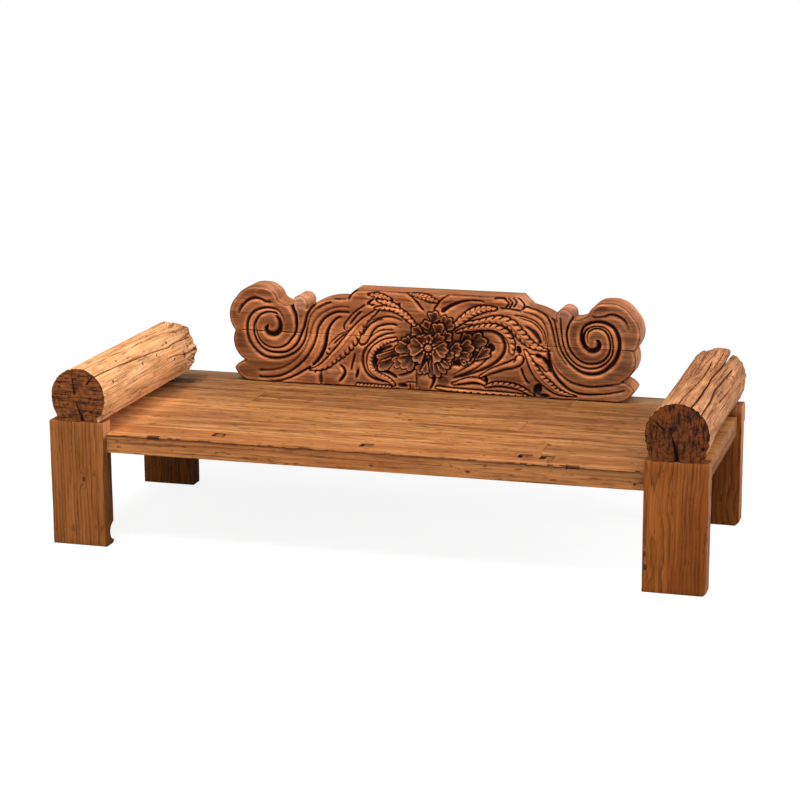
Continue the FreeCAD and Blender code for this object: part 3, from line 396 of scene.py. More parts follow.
# middle of each plug, and how far it has shrunk or rotted from the left and right of its hole
PLUGS = [(-540, 9, 12), (-25, 13, 4), (505, 14, 4), (578, 16, 5)]
for x, _, _ in PLUGS:
    carve_out(front_rail, ((x - MORTISE_HALF) * MM, plug_low.y - 0.0006, plug_low.z - 0.0004),
              ((x + MORTISE_HALF) * MM, plug_high.y + 0.0006, high.z + 0.01))
for x, y, wide, deep in ((471, -376, 5, 20), (596, -428, 11, 30)):
    carve_out(front_rail, ((x - wide / 2) * MM, (y - deep / 2) * MM, high.z - 0.024),
              ((x + wide / 2) * MM, (y + deep / 2) * MM, high.z + 0.01), ease=0.001)
# nail and worm holes in the top and in the front
for x, y in ((169, -437), (851, -394), (376, -426)):
    scoop(front_rail, (x * MM, y * MM, high.z), (0.006, 0.006, 0.008))
for x, z in ((15, 343), (878, 343)):
    scoop(front_rail, (x * MM, low.y + LIP_PROUD, z * MM), (0.007, 0.006, 0.004))
pick(front_rail)
bpy.ops.object.mode_set(mode="EDIT")
for drop in (0.0030, 0.0075):
    bpy.ops.mesh.select_all(action="SELECT")
    bpy.ops.mesh.bisect(plane_co=(0, 0, high.z - LIP - drop), plane_no=(0, 0, 1))
bpy.ops.object.mode_set(mode="OBJECT")
# an old split runs slantwise over the top
carve_out(front_rail, (0.5785, -0.470, high.z - 0.005), (0.5805, -0.352, high.z + 0.002), turn=17)
# the lip's edge is worn into a wavy line
for v in front_rail.data.vertices:
    if v.co.y < low.y + 0.0022 and v.co.z > high.z - LIP - 0.0002:
        at = Vector((v.co.x, 0.0, 3.0))
        worn = 0.4 + noise.noise(at * 22) + 0.6 * noise.noise(at * 70)
        v.co.y += LIP_PROUD * min(max(worn, 0.0), 1.0)
        if v.co.z < high.z - 0.002:
            v.co.z += 0.0018 * noise.noise(at * 40)
shade(front_rail)
# painted shade in the corner under the lip, in the slots and round the plugs, and inside the two deepest
# chips
x, y, z = np.array([v.co for v in front_rail.data.vertices]).T
under = (y > low.y + 0.0018) & (y < low.y + 0.02) & (z < high.z - 0.001)
thick = 0.0068 + 0.0040 * np.clip((x - 0.48) / 0.1, 0, 1)
dirt_and_shade = under * np.clip(1 - (high.z - LIP - z) / thick, 0, 1)
deep = (y > low.y + 0.03) & (z < high.z - 0.003) & (z > high.z - 0.026)
for chip in (-0.743, 0.678):
    deep |= ((np.abs(x - chip) < 0.026) & (y > low.y + 0.004) & (y < low.y + 0.03)
             & (z < high.z - 0.003) & (z > high.z - 0.02))
attribute(front_rail, "recess", np.maximum(dirt_and_shade, 1.0 * deep))
# painted shade towards the right, and painted light on top beside the left log to lift the shade it throws
dress(front_rail, rail_wood, ["front_rail"], (0, -0.62, 0.20),
      -0.03 - 0.09 * np.clip(x + 0.5, -0.5, 1.0) - 0.06 * (x > 0.45)
      + 0.5 * np.clip((-0.84 - x) / 0.06, 0, 1) * (z > high.z - 0.002))

low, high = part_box("rear_rail")
rear_rail = block("rear_rail_beam", low, high, ease=2.0, steps=(48, 4, 3))
wear(rear_rail, 57.0, 0.5, 0.3)
shade(rear_rail)
# Weathered bare wood: grey-brown, dull, with faint rings.
grey_wood = wood("weathered_rear_beam", "X", "#94704f", "#7d5b3e", "#402616", ring_mm=10.0,
                 ring_dark=0.35, fibre_dark=0.34, rough=0.7, end_dark=0.35)
dress(rear_rail, grey_wood, ["rear_rail"], (0, 0.66, 0.30))


# SEAT PLANKS
# Five rows of oiled, hand-planed planks of one golden tree, butted end to end in four rows.
# Each is laid edge to edge on the bearers; the last row is notched round the rear legs.
# Oiled softwood: golden, streaked lengthwise in brown where old finish has stayed, half matt.
plank_wood = wood("oiled_golden_plank", "X", "#b67e49", "#966037", "#562a10", ring_mm=11.0,
                  ring_dark=0.60, vein_dark=0.70, fibre_dark=0.45, play=1.1, rough=0.56, end_dark=0.45,
                  patch_mm=(500, 52.632), stain=0.65, wander_mm=30, dash=0.8)
# nail holes: place and size in mm
HOLES = {"seat_plank_3_left": [(17, -33, 5), (-40, 41, 5)], "seat_plank_1_right": [(551, -240, 5)],
         "seat_plank_4_left": [(-103, 84, 5), (-118, 95, 4), (396, 69, 5)]}
# pith and tone of each plank; the rear rows' lower tones paint the shade near the back
PLANKS = {
    "seat_plank_1_left": ((0.2, -0.29, 0.18), 0.02),
    "seat_plank_1_right": ((0.2, -0.17, 0.21), -0.05),
    "seat_plank_2": ((0.0, -0.10, 0.14), -0.02),
    "seat_plank_3_left": ((0.1, 0.09, 0.20), 0.04),
    "seat_plank_3_right": ((0.7, 0.02, 0.16), -0.03),
    "seat_plank_4_left": ((-0.8, 0.12, 0.20), -0.17),
    "seat_plank_4_right": ((0.2, 0.26, 0.15), -0.18),
    "seat_plank_5_left": ((-0.3, 0.27, 0.16), -0.27),
    "seat_plank_5_right": ((0.8, 0.38, 0.20), -0.28),
}
rear_low, rear_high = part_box("leg_rear_right")
for index, (name, (pith, tone)) in enumerate(PLANKS.items()):
    low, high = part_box(name)
    plank = block(name + "_board", low, high, ease=0.7,
                  steps=(int((high.x - low.x) / 0.035) + 1, 5, 1))
    wear(plank, 60.0 + 7 * index, 0.35, 0.15)
    if name.startswith("seat_plank_5"):
        side = -1 if name.endswith("left") else 1
        x0, x1 = sorted((side * abs(rear_low.x), side * 1.12))
        carve_out(plank, (x0, rear_low.y, low.z - 0.01), (x1, rear_high.y, high.z + 0.01))
    for x, y, size in HOLES.get(name, ()):
        scoop(plank, (x * MM, y * MM, high.z), (1.6 * size * MM, 1.8 * size * MM, 1.6 * size * MM))
    x, _, z = np.array([v.co for v in plank.data.vertices]).T
    # the sides and ends of each plank below its top edge are painted in shade, as in the gaps between planks
    attribute(plank, "recess", 1.0 * ((z < high.z - 0.002) & (z > low.z + 0.012)))
    shade(plank)
    # painted shade towards the right, and painted light beside the logs to lift the shade they throw
    painted_light_left, painted_light_right = (0.75, 0.42) if index < 5 else (0.10, 0.62)
    dress(plank, plank_wood, [name], pith, tone - 0.12 * np.clip((x - 0.55) / 0.25, 0, 1)
          + painted_light_left * np.clip((-0.80 - x) / 0.12, 0, 1) + painted_light_right * np.clip((x - 1.02) / 0.03, 0, 1))


# PLUGS
# Four square plugs of darker wood driven into the old mortises, end grain up.
# End grain of a harder wood: dark, with rings and rays in place of long grain, and matt.
plug_wood = wood("end_grain_plug", "Z", "#ab7340", "#8e5930", "#3a1b0a", ring_mm=5.0, rough=0.7,
                 end="#5d3215", end_dark=0.45)
parts = []
for k, (x, left_gap, right_gap) in enumerate(PLUGS):
    plug = block(f"plug_{k}", ((x - 23 + left_gap) * MM, plug_low.y + 0.0050, plug_low.z),
                 ((x + 23 - right_gap) * MM, plug_high.y - 0.0050, plug_high.z - 0.0003 * k), ease=1.2,
                 steps=(4, 4, 1))
    wear(plug, 90.0 + k, 0.9, 0.5)
    for step in (-0.4, 4.0, 8.4) if k in (1, 2) else ():
        carve_out(plug, ((x + step + 3) * MM, plug_low.y + 0.014, plug_high.z - 0.012),
                  ((x + step + 5.4) * MM, plug_high.y + 0.01, plug_high.z + 0.01))
    parts.append(plug)
pick(*reversed(parts))
bpy.ops.object.join()
plugs = bpy.context.object
plugs.name = "mortise_plug_set"
shade(plugs)
dress(plugs, plug_wood, ["mortise_plugs"], (-0.02, -0.38, 0))


# LOG ARMS
# Two debarked logs, grey-tan outside and dark at the sawn ends, hewn flat where they lie on the
# legs. Deep drying checks wander along them; the right one is split through at its rear end.
def log_section(count, radius, rise, half):
    """Points round a log's section, from its bottom middle, and their outward directions."""
    drawn_in = radius - half
    flank = (drawn_in ** 2 + rise ** 2) / (2 * drawn_in)
    sweep = math.asin(rise / flank)
    side = [(radius - flank + flank * math.cos(a), rise + flank * math.sin(a))
            for a in np.linspace(-sweep, 0, 60, endpoint=False)]
    top = [(radius * math.cos(a), rise + radius * math.sin(a))
           for a in np.linspace(0, math.pi, 200, endpoint=False)]
    left = [(-x, z) for x, z in side[::-1]]
    base = [(x, 0) for x in np.linspace(0, half, 20, endpoint=False)]
    back = [(-x, z) for x, z in base[::-1]]
    line = np.array(base + side + top + [(-radius, rise)] + left + back[:-1] + [(0, 0)])
    length = np.concatenate([[0], np.cumsum(np.hypot(*np.diff(line, axis=0).T))])
    at = np.linspace(0, length[-1], count, endpoint=False)
    ring = np.stack([np.interp(at, length, line[:, 0]), np.interp(at, length, line[:, 1])], -1)
    for _ in range(3):
        ring = (np.roll(ring, 1, 0) + 2 * ring + np.roll(ring, -1, 0)) / 4
    lean = np.roll(ring, -1, 0) - np.roll(ring, 1, 0)
    lean /= np.hypot(*lean.T)[:, None]
    return ring, np.stack([lean[:, 1], -lean[:, 0]], -1)


def slow_noise(a, b, seed):
    """Smooth noise over two arrays of the same shape, about -1 to 1."""
    flat = [noise.noise(Vector((u, v, seed))) for u, v in zip(a.ravel(), b.ravel())]
    return np.array(flat).reshape(a.shape)


RADIUS, RISE, HEWN_HALF = 95.5, 86.0, 70.0
AROUND, ALONG, CAPS = 300, 200, 26
PAIRS = [(i, (i + 1) % AROUND) for i in range(AROUND)]


def log_piece(name, node, checks, holes, chips, face_checks, seed, ragged, ridge, decay, flare):
    """One log: rings of points along it, checks cut into its side and its front face."""
    low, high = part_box(node)
    middle, front, rear = (low.x + high.x) / 2 * 1000, low.y * 1000, high.y * 1000
    ring, out = log_section(AROUND, RADIUS, RISE, HEWN_HALF)
    angle = np.degrees(np.arctan2(ring[:, 1] - RISE, ring[:, 0]))
    A, Y = np.meshgrid(angle, np.linspace(front, rear, ALONG))
    base = ring[None, :, 1].repeat(ALONG, 0)
    c, s = np.cos(A * math.pi / 180), np.sin(A * math.pi / 180)
    lift = 2.0 * slow_noise(2.2 * c, 0.004 * Y + 2.2 * s, seed)
    lift += ridge * slow_noise(9 * c + 0.002 * Y, 9 * s, seed + 5)
    lift += 0.55 * slow_noise(30 * c + 0.01 * Y, 30 * s, seed + 9)
    lift += 1.6 * np.clip((front + 30 - Y) / 30, 0, 1) * slow_noise(9 * c, 9 * s, seed + 50)
    swell = np.clip((front + 320 - Y) / 320, 0, 1)
    lift += flare * (swell + 0.8 * np.clip((Y - rear + 320) / 320, 0, 1)) - 1.6
    # dark is painted shade in the checks, holes and split and on the underside, with the rot's own colour
    dark = np.zeros_like(lift)
    arc = 96.0 * math.pi / 180
    for line, width, depth in checks:
        at, along = np.array(line, float).T
        wave = 1.6 * slow_noise(Y[:, :1] * 0.012, Y[:, :1] * 0.0, seed + width * 7)
        gap = (A - np.interp(Y, along, at)) * arc + wave
        inside = np.clip((Y - along[0]) / 30, 0, 1) * np.clip((along[-1] - Y) / 30, 0, 1)
        # the deepest check opens into a split at the rear end
        split = 2.0 * np.clip((Y - rear + 120) / 120, 0, 1) * (depth > 15)
        w = width * (0.55 + 0.45 * inside) * (1 + 0.05 * split)
        lift -= depth * (1 + split) * np.exp(-(gap / w) ** 2) * (inside > 0) * inside ** 0.5
        lift -= 0.10 * depth * np.exp(-(gap / (w * 4)) ** 2) * inside
        dark = np.maximum(dark, np.exp(-(gap / (w * 0.9)) ** 2) * inside ** 0.5)
    for at, y0, r, depth in holes:
        pit = np.exp(-np.hypot((A - at) * arc / (r + 1), (Y - y0) / (r + 1)) ** 4)
        lift -= depth * pit
        dark = np.maximum(dark, 1.4 * pit)
    for at, y0, wide, long, depth in chips:
        lift -= depth * np.clip(1 - np.hypot((A - at) * arc / wide, (Y - y0) / long) ** 2, 0, 1)
    # the wood is rotted into ridges and hollows towards the rear end, darker from the rot, with painted
    # shade in the hollows
    rot = decay * np.clip((Y - rear + 240) / 240, 0, 1) ** 1.5
    furrow = slow_noise(7 * c + 0.006 * Y, 7 * s, seed + 60)
    crumb = slow_noise(24 * c + 0.05 * Y, 24 * s + 0.09 * Y, seed + 70)
    lift -= rot * (5.0 * np.clip(0.2 + furrow, 0, 1) + 7.0 * np.clip(crumb, 0, 1))
    dark = np.maximum(dark, rot * np.clip(3.0 * furrow + 3.0 * crumb + 0.2, 0, 0.9))
    # painted shade on the underside towards the seat
    dark = np.maximum(dark, 0.22 * np.clip((-A - 25) / 30, 0, 1) * (A > -100)
                      * np.clip(0.7 + 1.5 * crumb + furrow, 0, 1))
    # nothing stands out from the hewn flat
    lift *= np.clip(base / 6, 0, 1)
    dark *= np.clip(base / 6, 0, 1)
    end_front = 2.5 * slow_noise(c[:1] * 3, s[:1] * 3, seed + 20)
    end_rear = ragged(angle) + 3.0 * slow_noise(c[:1] * 5, s[:1] * 5, seed + 30)[0]
    share = ((Y - front) / (rear - front)) ** 3
    skin = np.stack([
        middle + ring[None, :, 0] + lift * out[None, :, 0] + 0.6 * flare * swell,
        Y + np.abs(end_front) * (1 - share) * (Y < front + 40) - np.abs(end_rear)[None] * share,
        base + lift * out[None, :, 1]], -1)
    # front and rear faces, ring by ring to the middle
    faces = []
    for end, sign in ((0, 1), (-1, -1)):
        rim = skin[end]
        centre = np.array([middle, rim[:, 1].mean(), RISE + 2])
        grow = np.linspace(1, 0, CAPS, endpoint=False)[1:, None, None]
        inner = centre + (rim - centre) * grow
        inner[..., 1] = centre[1] + (rim[:, 1] - centre[1]) * grow[..., 0] ** 2
        u, v = inner[..., 0] - middle, inner[..., 2] - RISE
        sink = 0.7 * slow_noise(u * 0.05, v * 0.3, seed + 40) + 0.5
        deep = np.zeros_like(sink)
        for line, width, depth in (face_checks if end == 0 else face_checks[:1]):
            parts = len(line) - 1
            for k, ((x0, z0), (x1, z1)) in enumerate(zip(line, line[1:])):
                t = ((u - x0) * (x1 - x0) + (v - z0) * (z1 - z0)) / ((x1 - x0) ** 2 + (z1 - z0) ** 2)
                t = np.clip(t, 0, 1)
                here = 0.25 + 0.9 * (k + t) / parts
                far = np.hypot(u - x0 - t * (x1 - x0), v - z0 - t * (z1 - z0)) / (width * here)
                deep = np.maximum(deep, depth * here * np.exp(-far ** 2))
        inner[..., 1] += sign * (sink + deep)
        # the deeper a check in a face, the more it is painted in shade
        faces.append((inner, np.clip(deep / 3, 0, 1)))
        if end == 0:
            # a check that reaches the rim also opens the side of the log, whose opening is painted in shade,
            # also where it shows under the flat
            rim[:, 1] += deep[0]
            wide = np.max([np.roll(deep[0], k) for k in range(-8, 9)], axis=0)
            dark[:10] = np.maximum(dark[:10], np.clip(wide / 2, 0, 1) * (base[:10] < 12))
            for j in range(1, 9):
                skin[j, :, 1] = np.maximum(skin[j, :, 1], rim[:, 1] + 0.4 * j)
                dark[j] = np.maximum(dark[j], np.clip((deep[0] - 4.3 * j + 4) / 4, 0, 1))
            dark[0] = np.maximum(dark[0], np.clip(deep[0] / 3, 0, 1))
    verts, darks, ends = [skin.reshape(-1, 3)], [dark.ravel()], [np.zeros(dark.size)]
    quads = [(j * AROUND + i, j * AROUND + k, (j + 1) * AROUND + k, (j + 1) * AROUND + i)
             for j in range(ALONG - 1) for i, k in PAIRS]
    for (inner, deep), first, sign in ((faces[0], 0, 1), (faces[1], (ALONG - 1) * AROUND, -1)):
        start = sum(map(len, verts))
        verts += [inner.reshape(-1, 3), inner[-1].mean(0)[None]]
        darks += [deep.ravel(), [0.0]]
        ends.append(np.ones(deep.size + 1))
        for j in range(CAPS - 1):
            here, there = start + (j - 1) * AROUND if j else first, start + j * AROUND
            quads += [(here + k, here + i, there + i, there + k)[::sign] for i, k in PAIRS]
        quads += [(there + k, there + i, there + AROUND)[::sign] for i, k in PAIRS]
    mesh = bpy.data.meshes.new(name)
    mesh.from_pydata((np.concatenate(verts) * MM + (0, 0, low.z)).tolist(), [], quads)
    ob = bpy.data.objects.new(name, mesh)
    bpy.context.scene.collection.objects.link(ob)
    shade(ob, 50)
    attribute(ob, "recess", np.concatenate(darks))
    attribute(ob, "capped", np.concatenate(ends))
    return ob


# Debarked and weathered: pale tan and dry, with raised fibres outside and a dark sawn end.
LOG_FINISH = dict(ring_mm=14.0, ring_dark=0.30, vein_dark=0.65, fibre_dark=0.50, play=0.9, rough=0.74,
                  relief=1.0, end_dark=1.0, patch_mm=(250, 35.714), stain=0.50, dash=0.5)
log_wood = wood("weathered_log", "Y", "#e2aa78", "#c88f5e", "#6a381a", end="#824820", dirt_and_shade="#2b1206",
                **LOG_FINISH)
# checks: angle round the log in degrees and place along it in mm, width, depth
LEFT_CHECKS = [
    ([(49, -520), (48.5, -466), (47, -345), (42, -206), (38, -80), (33, 48), (28, 114), (31, 162),
      (31, 211), (29, 256), (27, 350)], 1.4, 9),
    ([(80, -520), (77, -480), (76, -359), (75, -244), (70, -111), (69, 0), (66, 108), (62, 186),
      (55, 235), (52, 300)], 1.2, 6),
    ([(92, -510), (88, -367), (86, -200), (83, -57), (78, 107), (77, 176)], 1.2, 5),
    ([(112, -500), (118, -300), (121, -120), (118, 60), (110, 200), (104, 300)], 1.5, 8),
    ([(150, -500), (146, -250), (152, 0), (149, 250), (146, 340)], 2.0, 10),
    ([(-28, -180), (-33, 0), (-40, 120), (-37, 240), (-34, 330)], 1.2, 6),
    ([(8, 60), (4, 160), (-4, 250), (-7, 340)], 1.5, 7),
    ([(-15, 130), (-18, 230), (-20, 350)], 1.4, 7),
]
# holes: angle, place, radius and depth; chips: angle, place, half widths and depth
LEFT_HOLES = [(-42, -502, 9, 13), (57.9, -296, 4, 4), (24.9, -141, 5, 6), (25.7, -9, 4.5, 6),
              (-2.8, 130, 5, 6), (40.5, 120, 6, 6), (54, 244, 8, 7), (22.2, -413, 4, 3),
              (-6, 235, 9, 7), (12, 280, 8, 5)]
LEFT_CHIPS = [(8.7, -321, 9, 17, 3.5), (-48, -500, 16, 40, 9), (-45, -440, 9, 34, 4), (70, 300, 26, 70, 7),
              (20, 330, 30, 60, 9), (-24, 320, 24, 70, 7), (37.7, 83, 5, 26, 3)]
# checks in the sawn front face: x and z from its middle in mm, width and depth
LEFT_FACE = [([(-19, 92), (-19, 62), (-16, 34), (-13, 8)], 2.6, 7),
             ([(-8, -18), (0, -44), (11, -70), (14, -84)], 4.0, 14),
             ([(60, 76), (47, 62), (33, 42)], 1.8, 9), ([(-80, 50), (-66, 42)], 1.6, 7),
             ([(-84, -14), (-40, -18), (10, -16)], 1.3, 3)]
log_left = log_piece(
    "log_arm_left_log", "log_arm_left", LEFT_CHECKS, LEFT_HOLES, LEFT_CHIPS, LEFT_FACE, 3.0,
    lambda a: (26 * np.clip(np.cos(np.radians(a - 100)), 0, 1) + 8 * np.sin(np.radians(a * 5))
               + 5 * np.sin(np.radians(a * 13)) + 12), 2.0, 1.0, 1.0)
dress(log_left, log_wood, ["log_arm_left"], (-0.997, 0, 0.512), 0.06)

# The right log has stayed browner, and its end was sawn across with coarser, level strokes.
brown_log_wood = wood("weathered_log_brown", "Y", "#c48a5e", "#a16841", "#552a12", end="#753c14",
                      dirt_and_shade="#240e03", saw_mm=(9.0909, 62.5, 50), **LOG_FINISH)
RIGHT_CHECKS = [
    ([(90.4, -515), (89.4, -402), (85.1, -273), (82, -171), (80.5, -69), (81, 33), (83, 108),
      (84, 160)], 1.5, 9),
    ([(66, -515), (63, -361), (62.2, -232), (63, -103), (64.6, -43), (62, 53), (60.4, 164),
      (60, 200), (59.5, 258), (59, 333), (58, 420)], 2.3, 18),
    ([(42.6, -515), (41, -364), (39.7, -279), (43.4, -206), (44.1, -129), (42.3, -19),
      (39.9, 115), (38.6, 210)], 2.0, 13),
    ([(22, -200), (20, -87), (17.3, 47), (18.6, 156), (26.1, 241)], 1.6, 8),
    ([(113, -460), (118.9, -220), (112.1, -107), (103, -40), (103.4, 82), (105.3, 173),
      (106, 260)], 1.7, 8),
    ([(9.5, -420), (6, -225), (4, -54), (4, 127), (2.3, 260)], 1.5, 7),
    ([(98, -80), (94.4, 57), (93.7, 146), (88.5, 237), (88, 340)], 1.6, 8),
    ([(114.5, -40), (112, 98), (109.5, 218), (107.9, 340)], 1.7, 8),
    ([(-12, -360), (-14, -100), (-10, 160), (-12, 300)], 1.8, 7),
    ([(140, -480), (146, -200), (142, 60), (147, 340)], 2.2, 8),
    ([(30, -500), (31, -420), (29, -330)], 1.4, 4),
    ([(52, -120), (50, 20), (51, 150)], 1.2, 4),
    ([(74, 0), (72, 130), (73, 300)], 1.4, 5),
]
RIGHT_HOLES = [(50, -470, 5, 4), (30, 140, 4, 5), (72, 200, 5, 5)]
RIGHT_CHIPS = [(56, 330, 20, 50, 6), (110, 320, 20, 80, 5), (-6, 300, 26, 70, 5)]
RIGHT_FACE = [([(-90, 50), (-63, 37), (-47, 22), (-40, 16)], 2.2, 9),
              ([(-21, 14), (-10, -14), (-3, -38), (4, -66), (5, -86)], 5.0, 14),
              ([(-14, 2), (-18, 18)], 3.0, 8), ([(80, -38), (84, -40)], 5, 8),
              ([(-14, 98), (-10, 88)], 3, 6), ([(40, -20), (66, 8)], 1.0, 2)]
log_right = log_piece(
    "log_arm_right_log", "log_arm_right", RIGHT_CHECKS, RIGHT_HOLES, RIGHT_CHIPS, RIGHT_FACE, 8.0,
    lambda a: 5 * np.sin(np.radians(a * 4)) + 5, 3.4, 0.5, 7.0)
dress(log_right, brown_log_wood, ["log_arm_right"], (1.007, 0, 0.508), -0.13)


# CARVED BACK
# Two thick boards glued edge to edge and carved by hand in deep relief: a scroll at each end,
# bands that sweep down from the straight top, and a peony with leaves between them.

# The outline's points are shares of half the back's length and of its height; each arc has the
# point that it passes and its end.
OUTLINE_FOOT = (0.895, 0.0)
OUTLINE_ARCS = [((0.946, 0.040), (0.978, 0.131)), ((0.953, 0.188), (0.920, 0.213)),
                ((0.980, 0.385), (0.972, 0.522)), ((1.0, 0.680), (0.962, 0.872)),
                ((0.914, 0.966), (0.842, 0.994)), ((0.788, 0.960), (0.754, 0.860)),
                ((0.726, 0.822), (0.682, 0.807)), ((0.646, 0.912), (0.608, 0.785))]
OUTLINE_BAND = (0.555, 0.852)
OUTLINE_STEPS = [(0.050, 0.900), (0.024, 0.952), (0.0, 1.0)]
FOOT, HALF_LONG, TALL = 388, 760, 358
MIDDLE, JOINT, FACE_Y, BACK_Y = -29.0, 578.0, 387.0, 492.0
# the carved face is a height field H in mm on a grid, with the shade painted in its cavities
GRID, COLUMNS, ROWS_BELOW, ROWS_ABOVE = 1.9, 404, 100, 90
RIM = 24.0
xs = MIDDLE + GRID * np.arange(-COLUMNS, COLUMNS + 1)
zs = JOINT + GRID * np.arange(-ROWS_BELOW, ROWS_ABOVE)
X, Z = np.meshgrid(xs, zs, indexing="ij")
H = np.zeros_like(X)
cavity_shade = np.zeros_like(X)


def arc_points(a, b, c, step=2.0):
    """Points on the arc from a by b to c, without its last point."""
    (ax, ay), (bx, by), (cx, cy) = a, b, c
    d = 2 * (ax * (by - cy) + bx * (cy - ay) + cx * (ay - by))
    aa, bb, cc = ax**2 + ay**2, bx**2 + by**2, cx**2 + cy**2
    ux = (aa * (by - cy) + bb * (cy - ay) + cc * (ay - by)) / d
    uy = (aa * (cx - bx) + bb * (ax - cx) + cc * (bx - ax)) / d
    r = math.hypot(ax - ux, ay - uy)
    t0, t1, t2 = (math.atan2(y - uy, x - ux) for x, y in (a, b, c))
    turn = (t2 - t0) % (2 * math.pi)
    if (t1 - t0) % (2 * math.pi) > turn:
        turn -= 2 * math.pi
    n = max(2, int(abs(turn) * r / step))
    return [(ux + r * math.cos(t0 + turn * k / n), uy + r * math.sin(t0 + turn * k / n)) for k in range(n)]


def half_outline(sign, shoulder):
    """One half of the panel's outline, from its foot to the straight top, in mm."""
    def point(share, start=0.0):
        return MIDDLE + sign * (start + share[0] * HALF_LONG), FOOT + share[1] * TALL

    line, last = [], point(OUTLINE_FOOT)
    for via, end in OUTLINE_ARCS:
        line += arc_points(last, point(via), point(end))
        last = point(end)
    steps = [point(share, shoulder) for share in OUTLINE_STEPS]
    line += arc_points(last, point(OUTLINE_BAND), steps[0])
    for a, b in zip(steps, steps[1:]):
        line += [(a[0] + (b[0] - a[0]) * t, a[1] + (b[1] - a[1]) * t) for t in np.linspace(0, 1, 6)[:-1]]
    return line + [steps[-1]]


def straight(a, b, step=3.0):
    """Points between two corners, without them."""
    n = int(math.hypot(b[0] - a[0], b[1] - a[1]) / step)
    return [(a[0] + (b[0] - a[0]) * k / n, a[1] + (b[1] - a[1]) * k / n) for k in range(1, n)]


SHOULDER_RIGHT, SHOULDER_LEFT = 326.0, 279.0
half_right, half_left = half_outline(1, SHOULDER_RIGHT), half_outline(-1, SHOULDER_LEFT)
rim = half_right + straight(half_right[-1], half_left[-1]) + half_left[::-1]
rim = np.array(rim + straight(half_left[0], half_right[0]))
# how far each point of the grid is from the outline, and the nearest point on it
away = np.full(X.shape, RIM)
near_x, near_z = X.copy(), Z.copy()
inside = np.zeros(X.shape, bool)
for a, b in zip(rim, np.roll(rim, -1, 0)):
    i0, j0 = np.maximum(np.floor((np.minimum(a, b) - RIM - (xs[0], zs[0])) / GRID).astype(int), 0)
    i1, j1 = np.ceil((np.maximum(a, b) + RIM - (xs[0], zs[0])) / GRID).astype(int)
    part = (slice(i0, max(i1, 0)), slice(j0, max(j1, 0)))
    run = ((b - a) ** 2).sum() + 1e-9
    t = np.clip(((X[part] - a[0]) * (b[0] - a[0]) + (Z[part] - a[1]) * (b[1] - a[1])) / run, 0, 1)
    px, pz = a[0] + t * (b[0] - a[0]), a[1] + t * (b[1] - a[1])
    far = np.hypot(X[part] - px, Z[part] - pz)
    better = far < away[part]
    for field, new in ((away, far), (near_x, px), (near_z, pz)):
        field[part] = np.where(better, new, field[part])
    cross = a[0] + (Z - a[1]) / (b[1] - a[1] + 1e-12) * (b[0] - a[0])
    inside ^= ((a[1] > Z) != (b[1] > Z)) & (X < cross)
away = np.where(inside, away, -away)


def smooth(points, step=2.0):
    """A Catmull-Rom curve through the points, in short even steps."""
    p = np.array(points, float)
    p = np.vstack([2 * p[0] - p[1], p, 2 * p[-1] - p[-2]])
    out = []
    for a, b, c, d in zip(p, p[1:], p[2:], p[3:]):
        n = max(2, int(np.hypot(*(c - b)) / step))
        t = np.linspace(0, 1, n, endpoint=False)[:, None]
        out.append(0.5 * (2 * b + (c - a) * t + (2 * a - 5 * b + 4 * c - d) * t ** 2
                          + (3 * b - a - 3 * c + d) * t ** 3))
    return np.vstack(out + [p[-2][None]])


def trace(points, reach):
    """For each cell within reach: distance across the line (left positive) and along it."""
    line = smooth(np.reshape(points, (-1, 2)))
    along = np.concatenate([[0], np.cumsum(np.hypot(*np.diff(line, axis=0).T))])
    tangent = np.gradient(line, axis=0)
    tangent /= np.hypot(*tangent.T)[:, None]
    across = np.full(X.shape, np.inf)
    where = np.zeros(X.shape)
    for k in range(0, len(line), 8):
        part, lean = line[k:k + 9], tangent[k:k + 9]
        lo = np.maximum(np.floor((part.min(0) - reach - (xs[0], zs[0])) / GRID).astype(int), 0)
        hi = np.ceil((part.max(0) + reach - (xs[0], zs[0])) / GRID).astype(int)
        box = (slice(lo[0], max(hi[0], 0)), slice(lo[1], max(hi[1], 0)))
        dx = X[box][..., None] - part[:, 0]
        dz = Z[box][..., None] - part[:, 1]
        d2 = dx * dx + dz * dz
        if not d2.size:
            continue
        m = d2.argmin(-1)[..., None]
        far = np.take_along_axis(d2, m, -1)[..., 0] ** 0.5
        turn = (lean[:, 0][m] * np.take_along_axis(dz, m, -1)
                - lean[:, 1][m] * np.take_along_axis(dx, m, -1))[..., 0]
        better = (far < np.abs(across[box])) & (far < reach)
        across[box] = np.where(better, np.where(turn >= 0, far, -far), across[box])
        where[box] = np.where(better, along[k:k + 9][m[..., 0]], where[box])
    hit = np.isfinite(across)
    return hit, across[hit], where[hit], along[-1]


def spread(values, share):
    """A width or depth that changes evenly along a line."""
    values = np.atleast_1d(np.array(values, float))
    if len(values) == 1:
        return values[0] * np.ones_like(share)
    return np.interp(share, np.linspace(0, 1, len(values)), values)


def cut(depth, width, *path, other=None, ends=10.0):
    """A carved groove; depth and width may change along it, and its right side may be wider."""
    widest = max(np.max(width), np.max(other if other is not None else 0))
    hit, v, s, length = trace(path, 2.2 * widest)
    share = s / length
    w = spread(width, share)
    if other is not None:
        w = np.where(v < 0, spread(other, share), w)
    tip = np.clip(s / ends, 0, 1) * np.clip((length - s) / ends, 0, 1)
    w = w * (0.35 + 0.65 * tip)
    H[hit] -= spread(depth, share) * np.exp(-(v / w) ** 2) * tip ** 0.5


